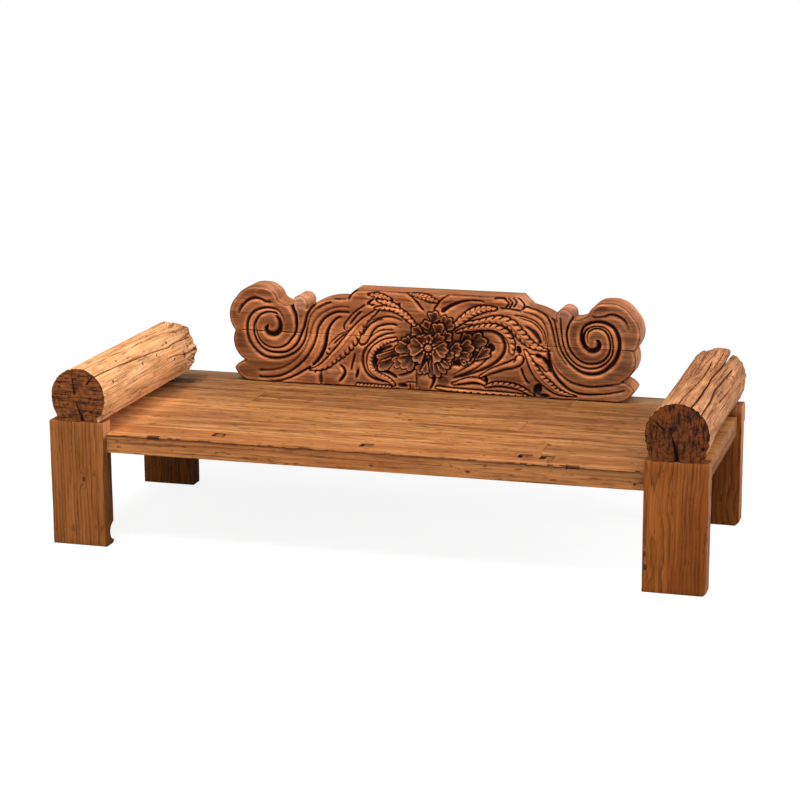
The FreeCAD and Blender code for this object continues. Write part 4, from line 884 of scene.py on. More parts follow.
def blade(lift, left_width, right_width, *path, left=0, right=0, bite=0.25, rib=3.0, crown=4.0):
    """A leaf with a midrib; a pitch on its left or right side parts that edge into lobes."""
    widest = max(np.max(left_width), np.max(right_width))
    hit, v, s, length = trace(path, widest + 9)
    share = s / length
    wide = np.where(v > 0, spread(left_width, share), spread(right_width, share)) + 0.01
    pitch = np.where(v > 0, left, right)
    parted = pitch > 0
    phase = ((s - 0.8 * np.abs(v)) / np.where(parted, pitch, 1e9)) % 1.0
    q = np.where(parted, np.abs(2 * phase - 1), 0.0)
    wide = wide * (0.80 + 0.24 * np.sqrt(1 - q * q)) * np.where(parted, 1, 0.96)
    r = np.abs(v) / wide
    out = (r - 1) * wide
    face = lift + crown * (1 - np.clip(r, 0, 1) ** 2) - rib * np.exp(-(v / 2.0) ** 2)
    notch = np.exp(-((1 - q) / 0.22) ** 2) * np.clip((r - bite) / 0.2, 0, 1)
    face -= 9.0 * notch * parted - 2.0 * (1 - q) * parted * np.clip((r - bite) / 0.3, 0, 1)
    face -= 3.0 * np.exp(np.minimum(out, 0) / 1.3)
    low = np.minimum(H[hit], lift + 1 + 0.8 * out) - 8.0 * np.exp(-(out / 3.0) ** 2)
    H[hit] = np.where(out < 0, face, np.where(out < 8, low, H[hit]))


def blur(field, reach):
    """A field averaged over a square around each point, twice."""
    for _ in range(2):
        for axis in (0, 1):
            pad = [(reach + 1, reach) if k == axis else (0, 0) for k in (0, 1)]
            total = np.cumsum(np.pad(field, pad, mode="edge"), axis)
            count = field.shape[axis]
            high = np.take(total, np.arange(count) + 2 * reach + 1, axis)
            field = (high - np.take(total, np.arange(count), axis)) / (2 * reach + 1)
    return field


def turned(x, z, turn):
    """The grid seen from a point, along and across a direction in degrees."""
    a = np.radians(turn)
    return (X - x) * np.cos(a) + (Z - z) * np.sin(a), -(X - x) * np.sin(a) + (Z - z) * np.cos(a)


def hollow(x, z, long, wide, turn, depth):
    """An oval hollow."""
    u, v = turned(x, z, turn)
    H[:] -= depth * np.clip(1 - np.hypot(u / long, v / wide) ** 2, 0, 1)


def fan(x, z, reach, turn, half, lobes, lift):
    """A cupped petal that spreads from its foot to a scalloped, rolled rim."""
    u, v = turned(x, z, turn)
    rho = np.hypot(u, v)
    phi = np.arctan2(v, u) / np.radians(half)
    scallop = 1 - 0.16 * (1 - np.abs(np.cos(phi * lobes * np.pi / 2)))
    r = rho / np.maximum(reach * (1 - 0.17 * phi ** 2) * scallop, 1)
    out = np.maximum((r - 1) * reach, (np.abs(phi) - 1) * np.radians(half) * rho)
    out = np.where(u < 0, rho, out)
    face = lift + 3.0 * r ** 3 - 6.0 * (1 - np.clip(r, 0, 1))
    face -= 4.0 * np.clip(1 - np.abs(phi) ** 3, 0, 1) * (1 - 0.35 * r)
    face -= 3.0 * np.exp(np.minimum(out, 0) / 1.2)
    lit = np.exp(-((out + 2.6) / 1.7) ** 2)
    face += 4.2 * lit
    face -= 1.2 * np.clip(np.cos(phi * np.pi * 3), 0, 1) ** 2 * np.clip(1.1 - r, 0, 1) ** 0.5
    held = out < 0
    skirt = (out >= 0) & (out < 10)
    under = np.minimum(H, lift + 1.5 + out * 0.7) - 9.0 * np.exp(-(out / 3.0) ** 2)
    H[skirt] = under[skirt]
    H[held] = face[held]
    # the petal is painted in shade but for its raised rim, and the skirt under its edge in painted shadow
    cavity_shade[held] = (0.62 * (1 - lit))[held]
    cavity_shade[skirt] = 0.6


# Strokes follow the photo: x and z of the points in mm, from the bed's middle and the floor.
# The field between the bands lies a little lower than they do.
H -= 4.0 * np.clip((430 - np.abs(X - MIDDLE)) / 40, 0, 1) * np.clip((726 - Z) / 14, 0, 1)
# the left scroll, from the outer ring inwards
cut([3, 7, 8, 8, 8, 6, 5], [2.0, 2.6, 2.8, 2.8, 2.6, 2.4], -579,612, -582,628, -593,648, -606,657,
    -622,662, -645,663, -668,658, -690,648, -706,632, -715,614, -719,594, -719,570, -714,548, -703,526,
    -686,506, -662,489, -636,481, -610,480, -586,484, -562,492, -540,505, -520,523, -506,545, -498,566,
    -494,586, -489,612, -480,640, -466,660, -446,676, -420,690, -395,698, other=6)
cut([8, 9, 10, 11, 11, 10], [2.6, 2.8, 3.0, 3.2, 3.6, 4.4, 4.4, 4.4], -597,638, -610,646, -628,649,
    -648,647, -668,638, -682,622, -692,604, -695,588, -694,566, -686,544, -672,524, -652,508, -630,501,
    -604,500, -580,502, -560,510, -540,526, -526,545, -516,567, -508,585, -502,600, -497,620, -490,645,
    -481,662, -468,677, -455,689)
cut([3, 7, 9, 11, 13, 15], [1.6, 2.2, 2.8, 3.4, 4, 5], -681,620, -685,604, -686,584, -682,564, -672,544,
    -656,528, -632,518, -608,517, -588,522, -568,534, -550,556, -538,572, -532,592, -531,616, -534,640,
    -541,658, -548,672, -549,690, -541,702)
cut([10, 16, 18, 18, 16, 12, 8], [3.5, 7, 9, 9.5, 8, 6, 3.5], -638,604, -643,596, -648,586, -644,574,
    -632,567, -616,567, -602,577, -595,592, -594,607, -597,620, -604,631, -614,638)
cut([4, 6, 7, 6, 3], [2.2, 2.6, 2.6, 2.2], -620,686, -634,684, -650,685, -665,692, -682,696, -698,694,
    -714,687, -728,676, -740,662, -748,648, -753,634, other=8)
cut([15, 13, 11, 8], [9, 7, 5, 4], -545,702, -549,684, -545,664, -536,645, -532,622, -531,600)
hollow(-652, 716, 34, 17, -6, 4)
# the right scroll
cut([8, 10, 12, 12, 12, 11, 9, 6], 2.8, 497,689, 485,676, 474,652, 469,628, 471,604, 477,580, 488,561,
    502,544, 520,531, 542,523, 564,523, 586,528, 603,538, 616,553, 624,573, 625,592, 622,612, 615,630,
    604,643, 590,649, 574,650, 560,646, 549,638, 543,626, 542,612, 546,600, 553,596)
cut([4, 8, 9, 10, 9, 8, 6], 2.4, 447,686, 448,658, 450,635, 453,611, 460,579, 472,552, 489,531, 511,515,
    535,507, 558,505, 582,510, 604,522, 621,539, 632,559, 635,581, 633,605, 628,626, 617,644, 602,655,
    584,658, 566,657, 550,651, 539,641, 532,627, 530,611, 533,595, 539,584, 549,576, 561,573)
cut([5, 8, 9, 10, 13, 14, 13, 11, 10], [2.6, 2.8, 3, 3, 3], 411,684, 425,665, 431,642, 436,618, 442,590,
    452,563, 467,538, 487,517, 511,500, 535,490, 559,488, 582,492, 606,504, 627,523, 643,546, 652,574,
    654,602, 648,629, 635,652, 615,665, 593,671, 572,671, 552,666, 534,655, 524,639, 520,619, 523,599,
    532,583, 544,572, other=[3, 3, 4, 8, 10, 10, 8, 6, 4])
cut([14, 18, 18, 16, 14, 12, 8, 4], [4, 8, 8.5, 8, 8, 7, 5, 3], 573,610, 581,604, 585,592, 580,578,
    567,570, 552,570, 540,577, 531,588, 527,605, 528,625, 537,641, 552,652)
cut([4, 6, 6, 6, 4, 2], 2.2, 556,694, 575,692, 599,696, 622,704, 642,703, 662,695, 678,682, 688,665,
    695,644, other=8)
cut([14, 10, 6], [8, 6, 4], 508,700, 497,689, 485,676)
hollow(594, 716, 34, 17, 6, 4)

# the left band's flutes
cut([3, 4, 4, 4, 4, 4], 2.4, -325,678, -351,680, -384,675, -414,663, -439,646, -460,622, -471,597,
    -479,568, -491,538, -508,508, -531,481, -561,457, -596,439, -643,430, -682,429, other=6)
cut([5, 8, 8, 7, 6, 6, 6, 5], 2.6, -326,660, -351,660, -376,659, -401,650, -426,632, -441,611, -449,594,
    -455,565, -466,535, -479,510, -496,484, -518,461, -544,440, -575,421, -605,410, -644,404, -683,405,
    other=6)
cut([6, 10, 14, 18, 20, 20, 18, 14], [3, 3, 4, 5, 6, 6, 5, 4], -359,646, -380,636, -397,619, -408,603,
    -416,583, -421,558, -426,533, -437,504, -454,478, -475,456)
cut([12, 9, 7, 5, 4], [4, 3, 3, 3], -475,456, -497,443, -528,424, -562,407, -597,395, -644,389)
cut(4, 2.2, -390,707, -367,708, -342,712)
hollow(-452, 472, 4, 4, 0, 6)
# the right band's flutes
cut([8, 12, 9, 8, 7, 5, 4, 3], 2.6, 309,701, 318,713, 337,711, 361,704, 385,693, 401,680, 411,662,
    418,641, 424,617, 430,590, 439,562, 455,535, 475,512, other=4)
cut([3, 5, 5, 5, 4], 2.2, 303,699, 333,691, 361,682, 383,665, 395,644, 401,624, 403,600, 401,576,
    403,560)
cut([4, 6, 6, 6, 5], 2.4, 277,681, 305,679, 333,672, 357,662, 377,643, 390,623, 395,600, 393,580)
cut([3, 6, 6, 5], 2.4, 289,674, 317,668, 345,659, 366,642, 381,623, 387,603, 386,589)
cut([3, 6, 8, 9, 6], [3, 6, 8, 8, 5], 315,645, 334,636, 354,620, 368,602, 376,587)
cut([4, 5, 5, 5, 4, 3], 2.2, 411,557, 415,537, 423,517, 435,496, 449,481, 467,466, 492,452, 520,445,
    551,441, 583,443, 615,448, 650,455, 670,464, 681,472, other=5)
cut([14, 16, 14, 10, 7, 5, 4], [5, 6, 4.5, 3, 2.4, 2.4], 402,560, 407,528, 415,497, 431,470, 452,447,
    476,428, 504,416, 536,412, 576,414, 615,418, 655,427, 686,435)

# the long leaf with its toothed lower edge, and the fingers beside it
blade(-3, [4, 8, 14, 24, 31, 31, 28, 22, 16, 10, 1], [4, 8, 12, 14, 16, 18, 16, 14, 12, 8, 1], -227,673,
    -246,657, -271,636, -297,610, -318,584, -339,555, -365,524, -391,498, -416,472, -442,454, -472,444,
    -485,442, left=23, bite=0.62)
cut([4, 6, 6, 6, 5], 2.6, -267,694, -288,681, -313,661, -333,640, -350,616, -351,601, -341,593)
cut([5, 9, 9, 5], 3.2, -283,669, -301,654, -317,634, -331,614)
cut([5, 8, 7, 4], 2.8, -336,585, -347,581, -369,564, -394,539)
cut([4, 5, 5], 2.6, -326,596, -343,590, -369,577, -390,559, -408,540, -416,526)
cut(7, 3, -412,526, -405,516, ends=3)
cut(7, 3, -422,509, -412,500, ends=3)
cut([5, 8, 10, 8], 3.2, -201,644, -226,638, -251,624, -268,605, -279,586, -282,577)
cut([6, 8, 8, 8, 9, 8], 3, -147,621, -172,626, -197,623, -226,613, -245,592, -257,569, -271,549,
    -287,544, -299,555, -301,571, other=4)
cut(5, 2.6, -163,605, -197,604, -222,597, -241,584, -253,574)
cut([5, 7, 5], 2.6, -130,641, -158,650, -186,653, -221,646, -251,635)
# the feather that bends down to the flower
blade(-1, [4, 9, 13, 14, 12, 9, 3], [3, 6, 8, 8, 7, 5, 2], -80,616, -95,637, -114,657, -137,674,
    -165,686, -200,687, -235,681, left=20, right=17)
# the toothed curl round its hollow
cut([4, 7, 9, 9, 9, 8, 6], 3.2, -155,594, -184,591, -218,578, -243,559, -266,537, -279,513, -282,484,
    -276,460, -264,439, -242,424, -215,417, -177,414, -156,399, other=4)
cut([6, 12, 18, 20, 18, 14, 10], [4, 5, 7, 8, 7, 6, 5], -168,548, -197,537, -220,523, -233,503,
    -235,482, -227,466, -206,454, -181,445, -152,430)
blade(-1, [5, 9, 10, 10, 10, 9, 4], [4, 8, 9, 9, 9, 8, 4], -159,573, -197,561, -225,544, -245,523,
    -255,498, -255,472, -245,451, -221,434, -187,422, -165,404, left=15, bite=0.3)
# strokes below
cut([4, 8, 8, 5], 2.8, -310,515, -316,490, -323,465, -326,446)
cut(10, 4.5, -299,456, -303,437, -309,420)
hollow(-397, 420, 38, 32, 25, -5)
cut([3, 8, 11, 11, 8], [3, 4, 4.5, 4.5, 3.5], -372,470, -357,457, -350,441, -356,424, -374,402)
cut([3, 4, 5, 5], [4, 6, 7, 7], -437,448, -441,429, -442,409, -440,390)
hollow(-463, 436, 5, 5, 0, 9)
cut([8, 10, 8], 4, -164,389, -131,385, -84,387)
blade(-3, 9, 4, -299,392, -269,391, -240,391, -206,391, -181,392, left=14)
hollow(-132, 402, 24, 13, 0, 8)

# the feather with two rows of lobes
cut([18, 14, 10, 8, 7, 5], [7, 5, 4, 3, 3], 11,679, 32,695, 55,709, 83,721, 119,728, 156,728, 176,722)
blade(0, [5, 10, 12, 13, 12, 9, 3], [5, 11, 13, 14, 13, 9, 3], 57,627, 77,647, 101,667, 128,686,
    156,697, 183,702, 213,702, left=20, right=20)
# the long leaf with both edges toothed
blade(-1, [5, 8, 12, 17, 21, 21, 19, 14, 8, 1], [3, 5, 6, 8, 11, 14, 15, 11, 6, 1], 101,643, 147,649,
    192,657, 229,657, 253,650, 270,641, 289,622, 310,603, 326,588, 346,576, 370,568, 391,563, 409,561,
    left=24, right=22, bite=0.35)
# the toothed stem that bends down
cut([4, 7, 9, 9, 8, 7, 5], 3.4, 147,618, 183,623, 211,619, 233,604, 245,582, 247,560, 238,534, 216,508,
    184,486, 143,468, 97,451, 51,439, other=9)
blade(-1, [4, 10, 14, 16, 16, 16, 15, 10], [3, 4, 5, 6, 7, 8, 8, 6], 69,610, 101,617, 138,624, 174,631,
    208,631, 236,620, 256,601, 268,577, 269,550, left=20)
# curl with a round end, and the tongue below it
blade(-2, [3, 6, 8, 9, 13, 14], [3, 6, 8, 9, 11, 13], 157,453, 193,474, 234,491, 271,503, 293,514,
    300,524, rib=0)
cut([4, 8, 6], 3, 273,508, 284,519, 293,522)
cut([5, 9, 9, 7], 3, 305,497, 313,471, 326,446, 339,436)
# the lower leaf with its side lobe
blade(-3, [4, 11, 13, 12, 8], [4, 10, 12, 11, 8], 330,540, 350,531, 371,520, 388,508, 397,494, rib=3)
blade(-1, [3, 8, 12, 16, 18, 17, 12, 7, 1], [4, 9, 13, 14, 13, 10, 7, 4, 1], 320,556, 334,530, 347,505,
    363,478, 379,458, 404,436, 432,417, 464,407, 504,402, left=19, bite=0.45)
# stems and tongues below the blossoms
cut([3, 6, 7, 6], 3, 48,448, 83,470, 120,495, 147,519, 168,540, 177,554)
cut([3, 6, 7, 6], 3, 189,536, 175,513, 147,487, 106,463, 58,443)
cut([5, 8, 6], 3, 170,553, 180,554, 191,545, 189,532)
cut([16, 18, 12], [6, 9, 6], 186,572, 195,559, 204,546, ends=4)
cut([14, 18, 14], [6, 8, 6], 53,492, 67,495, 83,489, ends=4)
blade(-2, [2, 8, 12, 11, 5], [2, 6, 8, 8, 4], 55,420, 88,429, 124,436, 154,435, 173,427, rib=0)
cut(5, 2.6, 69,419, 101,427, 134,432, 161,426)
# bead strips along the foot
blade(-2, [5, 11, 12, 12, 9, 3], 3, 177,418, 216,425, 257,424, 299,416, 335,401, 353,394, left=20)
blade(-2, 3, [4, 12, 14, 14, 13, 12, 4], -5,404, 37,402, 102,400, 171,398, 239,397, 308,394, 349,389)
for x in (48, 72, 97, 122, 149, 178, 203, 230, 257, 284, 310, 328):
    cut(14, 3.2, x,398 - x / 80, x + 4,386, ends=3)
# dark hollows between the leaves
cut([14, 18, 18, 12], [5, 9, 9, 5], 381,539, 393,524, 407,502, 413,481, ends=4)
cut([14, 18, 14], [5, 7, 5], 355,542, 369,538, 381,537, ends=4)
cut([12, 18, 14], [5, 8, 6], 294,572, 296,556, 301,543, ends=4)
cut([12, 16], [5, 6], 368,595, 377,584, ends=4)
cut([10, 14, 10], [4, 6, 4], 171,457, 177,443, 180,430, ends=4)
hollow(366, 419, 26, 18, 65, 13)
hollow(388, 398, 28, 9, 0, 8)
# painted shade in the deep pocket below the leaves
cavity_shade[:] += 0.5 * np.exp(-np.hypot((X - 368) / 20, (Z - 412) / 26) ** 3)

# the notch above the flower and the leaves in it
cut([6, 10, 12, 12, 8], [3, 3.2, 3.4, 3.2], -116,743, -102,734, -83,717, -65,695, -50,680)
cut([9, 8, 6, 3], 2.8, -18,684, -5,703, 9,722, 28,736, 47,745)
blade(-2, [5, 11, 12, 6], [5, 9, 10, 6], -90,738, -60,733, -32,726, -6,719, left=15, right=15)
cut([3, 5, 3], 2.4, -153,744, -116,743, -74,745, -9,738)
cut(4, 2.4, 46,745, 101,744, 174,741)
# small leaves at the left corner of the straight top
blade(-2, [3, 9, 10, 6], [3, 9, 9, 5], -256,731, -227,730, -202,724, -176,716, left=16, right=16)
blade(-2, [3, 8, 8, 3], [3, 8, 8, 3], -227,712, -199,706, -172,699, -146,690, left=17, right=17)
cut([5, 9, 9, 6], 3, -233,697, -246,692, -256,696, -267,692)
cut([6, 10, 8, 5], 3, -267,695, -258,702, -244,712, -233,719)
cut([5, 8, 7, 4], 2.8, -336,704, -325,723, -310,738, -293,746)
cut(13, 4.6, -147,706, -145,690, ends=3)
# chevrons at its right corner
cut(7, 2.6, 204,738, 228,741, 253,739, ends=4)
cut(6, 2.6, 228,705, 265,703, 305,698, ends=4)
for chevron in ((243,740, 260,724, 245,706), (256,743, 272,726, 259,705), (273,744, 288,730, 274,708)):
    cut([5, 9, 9, 5], 3, *chevron, ends=3)
cut([5, 9, 10, 9, 5], 3, 289,745, 305,735, 315,718, 304,700, ends=3)

# the wood between the grooves is rounded over towards them
shore = np.where(H < blur(H, 8) - 3.0, 0.0, 60.0)
for _ in range(10):
    for i, j in ((1, 0), (-1, 0), (0, 1), (0, -1), (1, 1), (1, -1), (-1, 1), (-1, -1)):
        shore = np.minimum(shore, np.roll(shore, (i, j), (0, 1)) + math.hypot(i, j) * GRID)
H -= 3.0 * np.exp(-shore / 6.0)

# foot x and z, reach, direction in degrees, half angle, lobes and height of each petal
BUD = [(-140, 543, 114, -140, 20, 2, -5), (-144, 517, 100, -143, 16, 1, -7),
       (-121, 528, 71, -122, 30, 2, -5)]
BLOSSOMS = [(106, 559, 78, 19, 42, 3, -6), (78, 566, 56, 39, 32, 2, -6), (129, 505, 79, 39, 20, 2, -6),
            (69, 548, 66, 6, 42, 3, -3), (69, 536, 54, -27, 36, 3, -2), (41, 546, 49, 3, 44, 3, -0.5),
            (32, 540, 36, -46, 38, 2, -1), (74, 507, 34, -20, 24, 2, -5)]
PEONY = [(-23, 634, 50, 70, 40, 2, -4), (4, 608, 69, 47, 36, 3, -3), (-35, 608, 41, 108, 36, 2, -3),
         (-53, 589, 52, 147, 32, 2, -4), (-9, 591, 54, 62, 42, 2, 0), (4, 574, 54, 32, 30, 2, -3),
         (-84, 546, 58, 150, 30, 2, -4), (-84, 539, 77, -178, 30, 2, -3), (-88, 521, 72, -133, 42, 3, -4),
         (-47, 500, 55, -116, 32, 2, -3), (-10, 520, 67, -29, 26, 3, -3), (-30, 519, 80, -84, 13, 1, -3),
         (-28, 519, 84, -66, 12, 1, -2), (-24, 521, 82, -50, 12, 1, -2), (-18, 524, 76, -37, 12, 1, -1),
         (-42, 500, 50, -100, 22, 2, -2), (-47, 534, 57, -143, 36, 2, 1), (-26, 533, 49, -38, 34, 2, 1),
         (-42, 558, 47, 140, 38, 2, 1), (-28, 558, 63, 32, 34, 3, 0.5), (-18, 547, 59, -7, 40, 3, 2),
         (-47, 545, 65, 175, 44, 3, 2), (-37, 560, 38, 79, 36, 2, 1.5)]
# ground round the flower and the blossoms
H[:] -= 7 * np.exp(-(np.hypot((X + 37) / 120, (Z - 555) / 105) / 0.9) ** 4)
H[:] -= 9 * np.exp(-(np.hypot((X - 140) / 90, (Z - 562) / 62) / 0.9) ** 4)
for petal in BUD + BLOSSOMS + PEONY:
    fan(*petal)
# button with studs in a deep ring, painted dark with shade
HEART_X, HEART_Z, BUTTON, DARK_RING = -36, 547, 13, 23
r = np.hypot(X - HEART_X, Z - HEART_Z)
H[r < DARK_RING] = np.minimum(H, -14)[r < DARK_RING]
cavity_shade[r < DARK_RING] = 0.9
cavity_shade[r < BUTTON] = 0.3
H[r < BUTTON] = (-5 + 4 * np.sqrt(np.clip(1 - (r / BUTTON) ** 2, 0, 1)))[r < BUTTON]
for count, ring, size in ((1, 0, 3.6), (6, 8, 3.4), (11, 22.5, 4.2)):
    for k in range(count):
        a = 2 * np.pi * k / count
        q = np.hypot(X - HEART_X - ring * np.cos(a), Z - HEART_Z - ring * np.sin(a)) / size
        on = q < 1
        H[on] = np.maximum(H, 4 * np.sqrt(np.clip(1 - q * q, 0, 1)))[on]
        cavity_shade[on] = 0
# knob under the flower
cut([16, 18, 12, 8], [5, 5, 3.5, 3], -18,452, -15,440, -17,424, -22,410, -30,394)
cut(5, 3, -82,452, -80,436, -80,414, -82,394)
cut(10, 3, -104,415, -104,386)
cut(7, 2, -93,414, -94,388)
cut(6, 2.4, -128,414, -105,418, -78,417)
hollow(-49, 420, 25, 36, 0, -6)
hollow(14, 424, 28, 28, 0, 5)
cut(7, 3.5, -150,440, -120,448, -96,462, -84,478, other=7)
# the whole relief is deepened, softened a little and given a hand's unevenness
H = np.clip(1.35 * H, -36, 7)
H = 0.75 * H + 0.25 * blur(H, 1)
grain_noise = slow_noise(X * 0.02, Z * 0.08, 2.0)
H += 0.5 * grain_noise
# its rim is rounded over
H -= 6.0 * np.exp(-(np.clip(away, 0, None) / 4.5) ** 2)
# an open joint at the left scroll and a notch at the right end
open_joint = 2.6 * np.clip((X[:, 0] + 740) / 12, 0, 1) * np.clip((-505 - X[:, 0]) / 60, 0, 1)
open_joint += 3.4 * np.clip((X[:, 0] - 676) / 20, 0, 1)
open_joint *= 1 + 0.35 * slow_noise(X[:, :1] * 0.06, Z[:, :1] * 0, 5.0)[:, 0]
H -= 2.5 * (open_joint > 0.3)[:, None] * np.exp(-((Z - JOINT) / 2.2) ** 2)
H -= 1.6 * np.exp(-((Z - JOINT) / 1.2) ** 2)
# painted shade, over some real stain, in all that lies lower than what is round it, on three scales, with
# the shade painted in the cavities, and a painted shadow line along the foot
sunk = np.clip((blur(H, 3) - H) / 4, 0, 1) * 0.45 + np.clip((blur(H, 9) - H) / 9, 0, 1) * 0.85
sunk += np.clip((blur(H, 22) - H) / 16, 0, 1) * 0.45 + cavity_shade
# the low ground round the flower is painted darker still with shade
sunk += 0.35 * np.exp(-np.hypot((X - 10) / 190, (Z - 560) / 90) ** 4) * np.clip(-H / 8, 0.3, 1)
sunk += 0.7 * np.clip((395 - Z) / 6, 0, 1)
# the scrolls are darker, the right side is painted in shade, and so is the foot, in part
darker_zones = 0.30 * np.clip((np.abs(X - MIDDLE) - 400) / 90, 0, 1) + 0.18 * np.clip((X - 120) / 120, 0, 1)
darker_zones += 0.50 * np.clip((484 - Z) / 60, 0, 1) * np.clip((480 - np.abs(X - MIDDLE)) / 80, 0, 1)


def rubbed_and_lit_pale(x, z):
    """How much the hooks and shoulders are rubbed pale, and the right end painted pale as lit from the
    right.
    """
    side = x - MIDDLE
    hooks = np.exp(-((np.abs(side) - 490) / 34) ** 2 - ((z - 690) / 26) ** 2)
    shoulder = np.exp(-((side - 335) / 30) ** 2 - ((z - 728) / 24) ** 2)
    crown = np.exp(-((side + 600) / 40) ** 2 - ((z - 742) / 22) ** 2)
    top = np.exp(-(side / 290) ** 8) * (z > 743)
    right_end = np.clip((side - 640) / 60, 0, 1)
    return 1.9 * hooks + 0.9 * shoulder + 0.6 * crown + 0.35 * right_end - 0.35 * top


proud = np.clip((H - blur(H, 3)) / 2.2, 0, 1)
# Carved hardwood, stained and rubbed: red-brown where hands reach; the cuts are painted nearly black with
# shade over the old stain.
carved_wood = wood("carved_walnut_brown", "X", "#a1643a", "#784424", "#331409", ring_mm=7.0,
                   ring_dark=0.35, vein_dark=0.42, fibre_dark=0.38, play=0.65, rough=0.55, relief=0.6,
                   end_dark=0.1, patch_mm=(250, 62.5), stain=0.45, dash=0.25)


def carved_board(name, node, rows, edge_row):
    """The mesh of one board: its carved face, its walls and its flat back."""
    held = (away > -0.5 * GRID)[:, rows]
    corners = [(0, 0), (1, 0), (1, 1), (0, 1)]
    count = sum(held[i:held.shape[0] - 1 + i, j:held.shape[1] - 1 + j].astype(int) for i, j in corners)
    cells = [[(i + a, j + b) for a, b in corners if held[i + a, j + b]] for i, j in np.argwhere(count >= 3)]
    used, edge, at_joint = (np.zeros(held.shape, bool) for _ in range(3))
    for cell in cells:
        for spot in cell:
            used[spot] = True
    keys = np.argwhere(used)
    index = -np.ones(held.shape, int)
    index[used] = np.arange(len(keys))
    faces = [[int(index[spot]) for spot in cell] for cell in cells]
    directed = dict.fromkeys((a, b) for face in faces for a, b in zip(face, face[1:] + face[:1]))
    border = {a: b for a, b in directed if (b, a) not in directed}
    for a in border:
        edge[tuple(keys[a])] = True
    at_joint[:, edge_row] = True
    px, pz = X[:, rows].copy(), Z[:, rows].copy()
    rim_here = edge & (~at_joint | (np.abs(away[:, rows]) < GRID))
    px[rim_here], pz[rim_here] = near_x[:, rows][rim_here], near_z[:, rows][rim_here]
    pz[:, edge_row] = JOINT + open_joint / 2 * (1 if edge_row == 0 else -1)
    place = np.stack([px, FACE_Y - H[:, rows], pz], -1)[used]
    recess = sunk[:, rows][used]
    pale = rubbed_and_lit_pale(X, Z)
    # the crests are rubbed pale and given a painted highlight; the darker zones and the rubbed and lit
    # places go in too
    tone = (1.1 * proud + 0.12 * grain_noise - darker_zones + 0.45 * pale)[:, rows][used]
    dust = (0.06 * proud + 0.3 * pale)[:, rows][used]
    # walls from the face's border to the flat back
    loop = [min(border)]
    while border[loop[-1]] != loop[0]:
        loop.append(border[loop[-1]])
    if len(loop) != len(border):
        raise ValueError(f"{name} has more than one border")
    verts, walls, level, total = [place], [], loop, len(place)
    for share in (0.035, 0.12, 0.36, 0.64, 0.9, 1.0):
        ring = place[loop]
        ring[:, 1] += (BACK_Y - ring[:, 1]) * share
        verts.append(ring)
        new = list(range(total, total + len(loop)))
        total += len(loop)
        walls += zip(level, new, new[1:] + new[:1], level[1:] + level[:1])
        level = new
    # the face looks to the front, so its corners run the other way round
    faces = [face[::-1] for face in faces] + walls + [level]
    place = np.concatenate(verts) * MM
    mesh = bpy.data.meshes.new(name)
    mesh.from_pydata(place.tolist(), [], faces)
    mesh.update()
    ob = bpy.data.objects.new(name, mesh)
    bpy.context.scene.collection.objects.link(ob)
    pick(ob)
    bpy.ops.object.mode_set(mode="EDIT")
    bpy.ops.mesh.select_all(action="SELECT")
    bpy.ops.mesh.normals_make_consistent(inside=False)
    bpy.ops.object.mode_set(mode="OBJECT")
    shade(ob, 75)
    extra = total - len(recess)
    pale = rubbed_and_lit_pale(*(place[-extra:, (0, 2)].T / MM))
    attribute(ob, "recess", np.concatenate([recess, np.zeros(extra)]))
    attribute(ob, "dust", np.clip(np.concatenate([dust, 0.05 + 0.3 * pale]), 0, 1))
    # the walls are painted paler, as light falls on the top edges, and more where rubbed and lit
    dress(ob, carved_wood, [node], (0, 0.44, 0.20 if edge_row else 0.78),
          np.concatenate([tone, 0.34 + 0.6 * pale]))


carved_board("back_lower_carving", "back_lower_board", slice(0, ROWS_BELOW + 1), ROWS_BELOW)
carved_board("back_upper_carving", "back_upper_board", slice(ROWS_BELOW, ROWS_BELOW + ROWS_ABOVE), 0)


# STUDIO
# A pale seamless floor that turns white away from the bed, and four large soft lights: the key
# from the upper left, one from the upper right, a weaker one in front and one from the right side.
floor_finish = bpy.data.materials.new("studio_floor")
floor_finish.use_nodes = True
tree = floor_finish.node_tree
tree.nodes.remove(tree.nodes["Principled BSDF"])
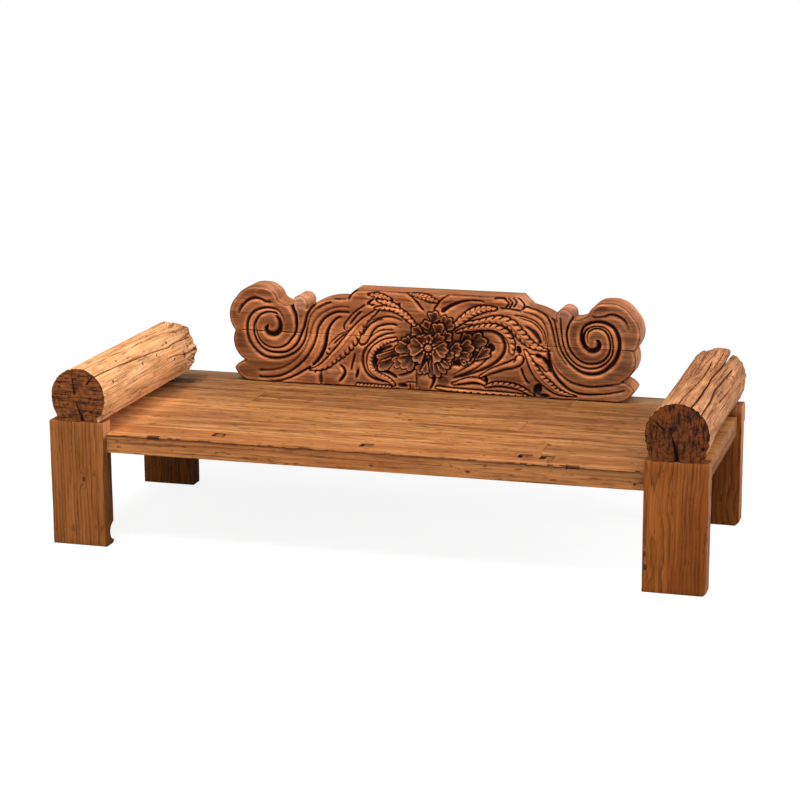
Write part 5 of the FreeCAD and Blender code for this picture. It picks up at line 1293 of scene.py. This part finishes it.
# matt paper: it sends less light back up than it shows, as under the bed in the photo
glow = add(tree, "Emission", {"Color": linear("#ffffff"), "Strength": 0.88})
plain = add(tree, "BsdfDiffuse", {"Color": linear("#7c7c7c")})
seen = add(tree, "AddShader", [glow, plain])
unseen = add(tree, "BsdfDiffuse", {"Color": linear("#8a8078")})
both = add(tree, "MixShader", [add(tree, "LightPath", out="Is Camera Ray"), unseen, seen])
white = add(tree, "Emission", {"Color": linear("#ffffff"), "Strength": 1.0})
place = add(tree, "TexCoord", out="Object")
reach = add(tree, "VectorMath", [place], "Value", operation="LENGTH")
far = add(tree, "MapRange", {"Value": reach, "From Min": 1.6, "From Max": 3.0})
gone = add(tree, "MixShader", [far, both, white])
tree.links.new(gone, tree.nodes["Material Output"].inputs["Surface"])
pick()
bpy.ops.mesh.primitive_plane_add(size=60)
floor = bpy.context.object
floor.name = "studio_floor"
floor.data.materials.append(floor_finish)


def soft_light(name, place, aim, size, power, colour):
    """A square area light that looks at a point."""
    data = bpy.data.lights.new(name, "AREA")
    data.shape = "SQUARE"
    data.size = size
    data.energy = power
    data.color = linear(colour)[:3]
    lamp = bpy.data.objects.new(name, data)
    lamp.location = place
    lamp.rotation_mode = "QUATERNION"
    lamp.rotation_quaternion = (Vector(aim) - Vector(place)).to_track_quat("-Z", "Y")
    bpy.context.scene.collection.objects.link(lamp)


soft_light("key", (-1.1, -1.9, 4.3), (0.0, 0, 0.3), 1.8, 200, "#fffaf4")
soft_light("top", (2.2, -1.4, 4.2), (-0.2, 0, 0.3), 2.6, 105, "#ffffff")
soft_light("front", (0.4, -6.6, 2.4), (0, 0, 0.3), 2.6, 120, "#ffffff")
soft_light("edge", (4.6, 0.2, 1.9), (0.4, 0.0, 0.4), 1.8, 130, "#ffffff")
world = bpy.data.worlds.new("studio")
world.use_nodes = True
bpy.context.scene.world = world
tree = world.node_tree
sky = tree.nodes["Background"]
sky.inputs["Color"].default_value = linear("#ffffff")
sky.inputs["Strength"].default_value = 0.30
seen = add(tree, "Background", {"Color": linear("#ffffff"), "Strength": 1.0})
choose = add(tree, "MixShader", [add(tree, "LightPath", out="Is Camera Ray"), sky.outputs[0], seen])
tree.links.new(choose, tree.nodes["World Output"].inputs["Surface"])
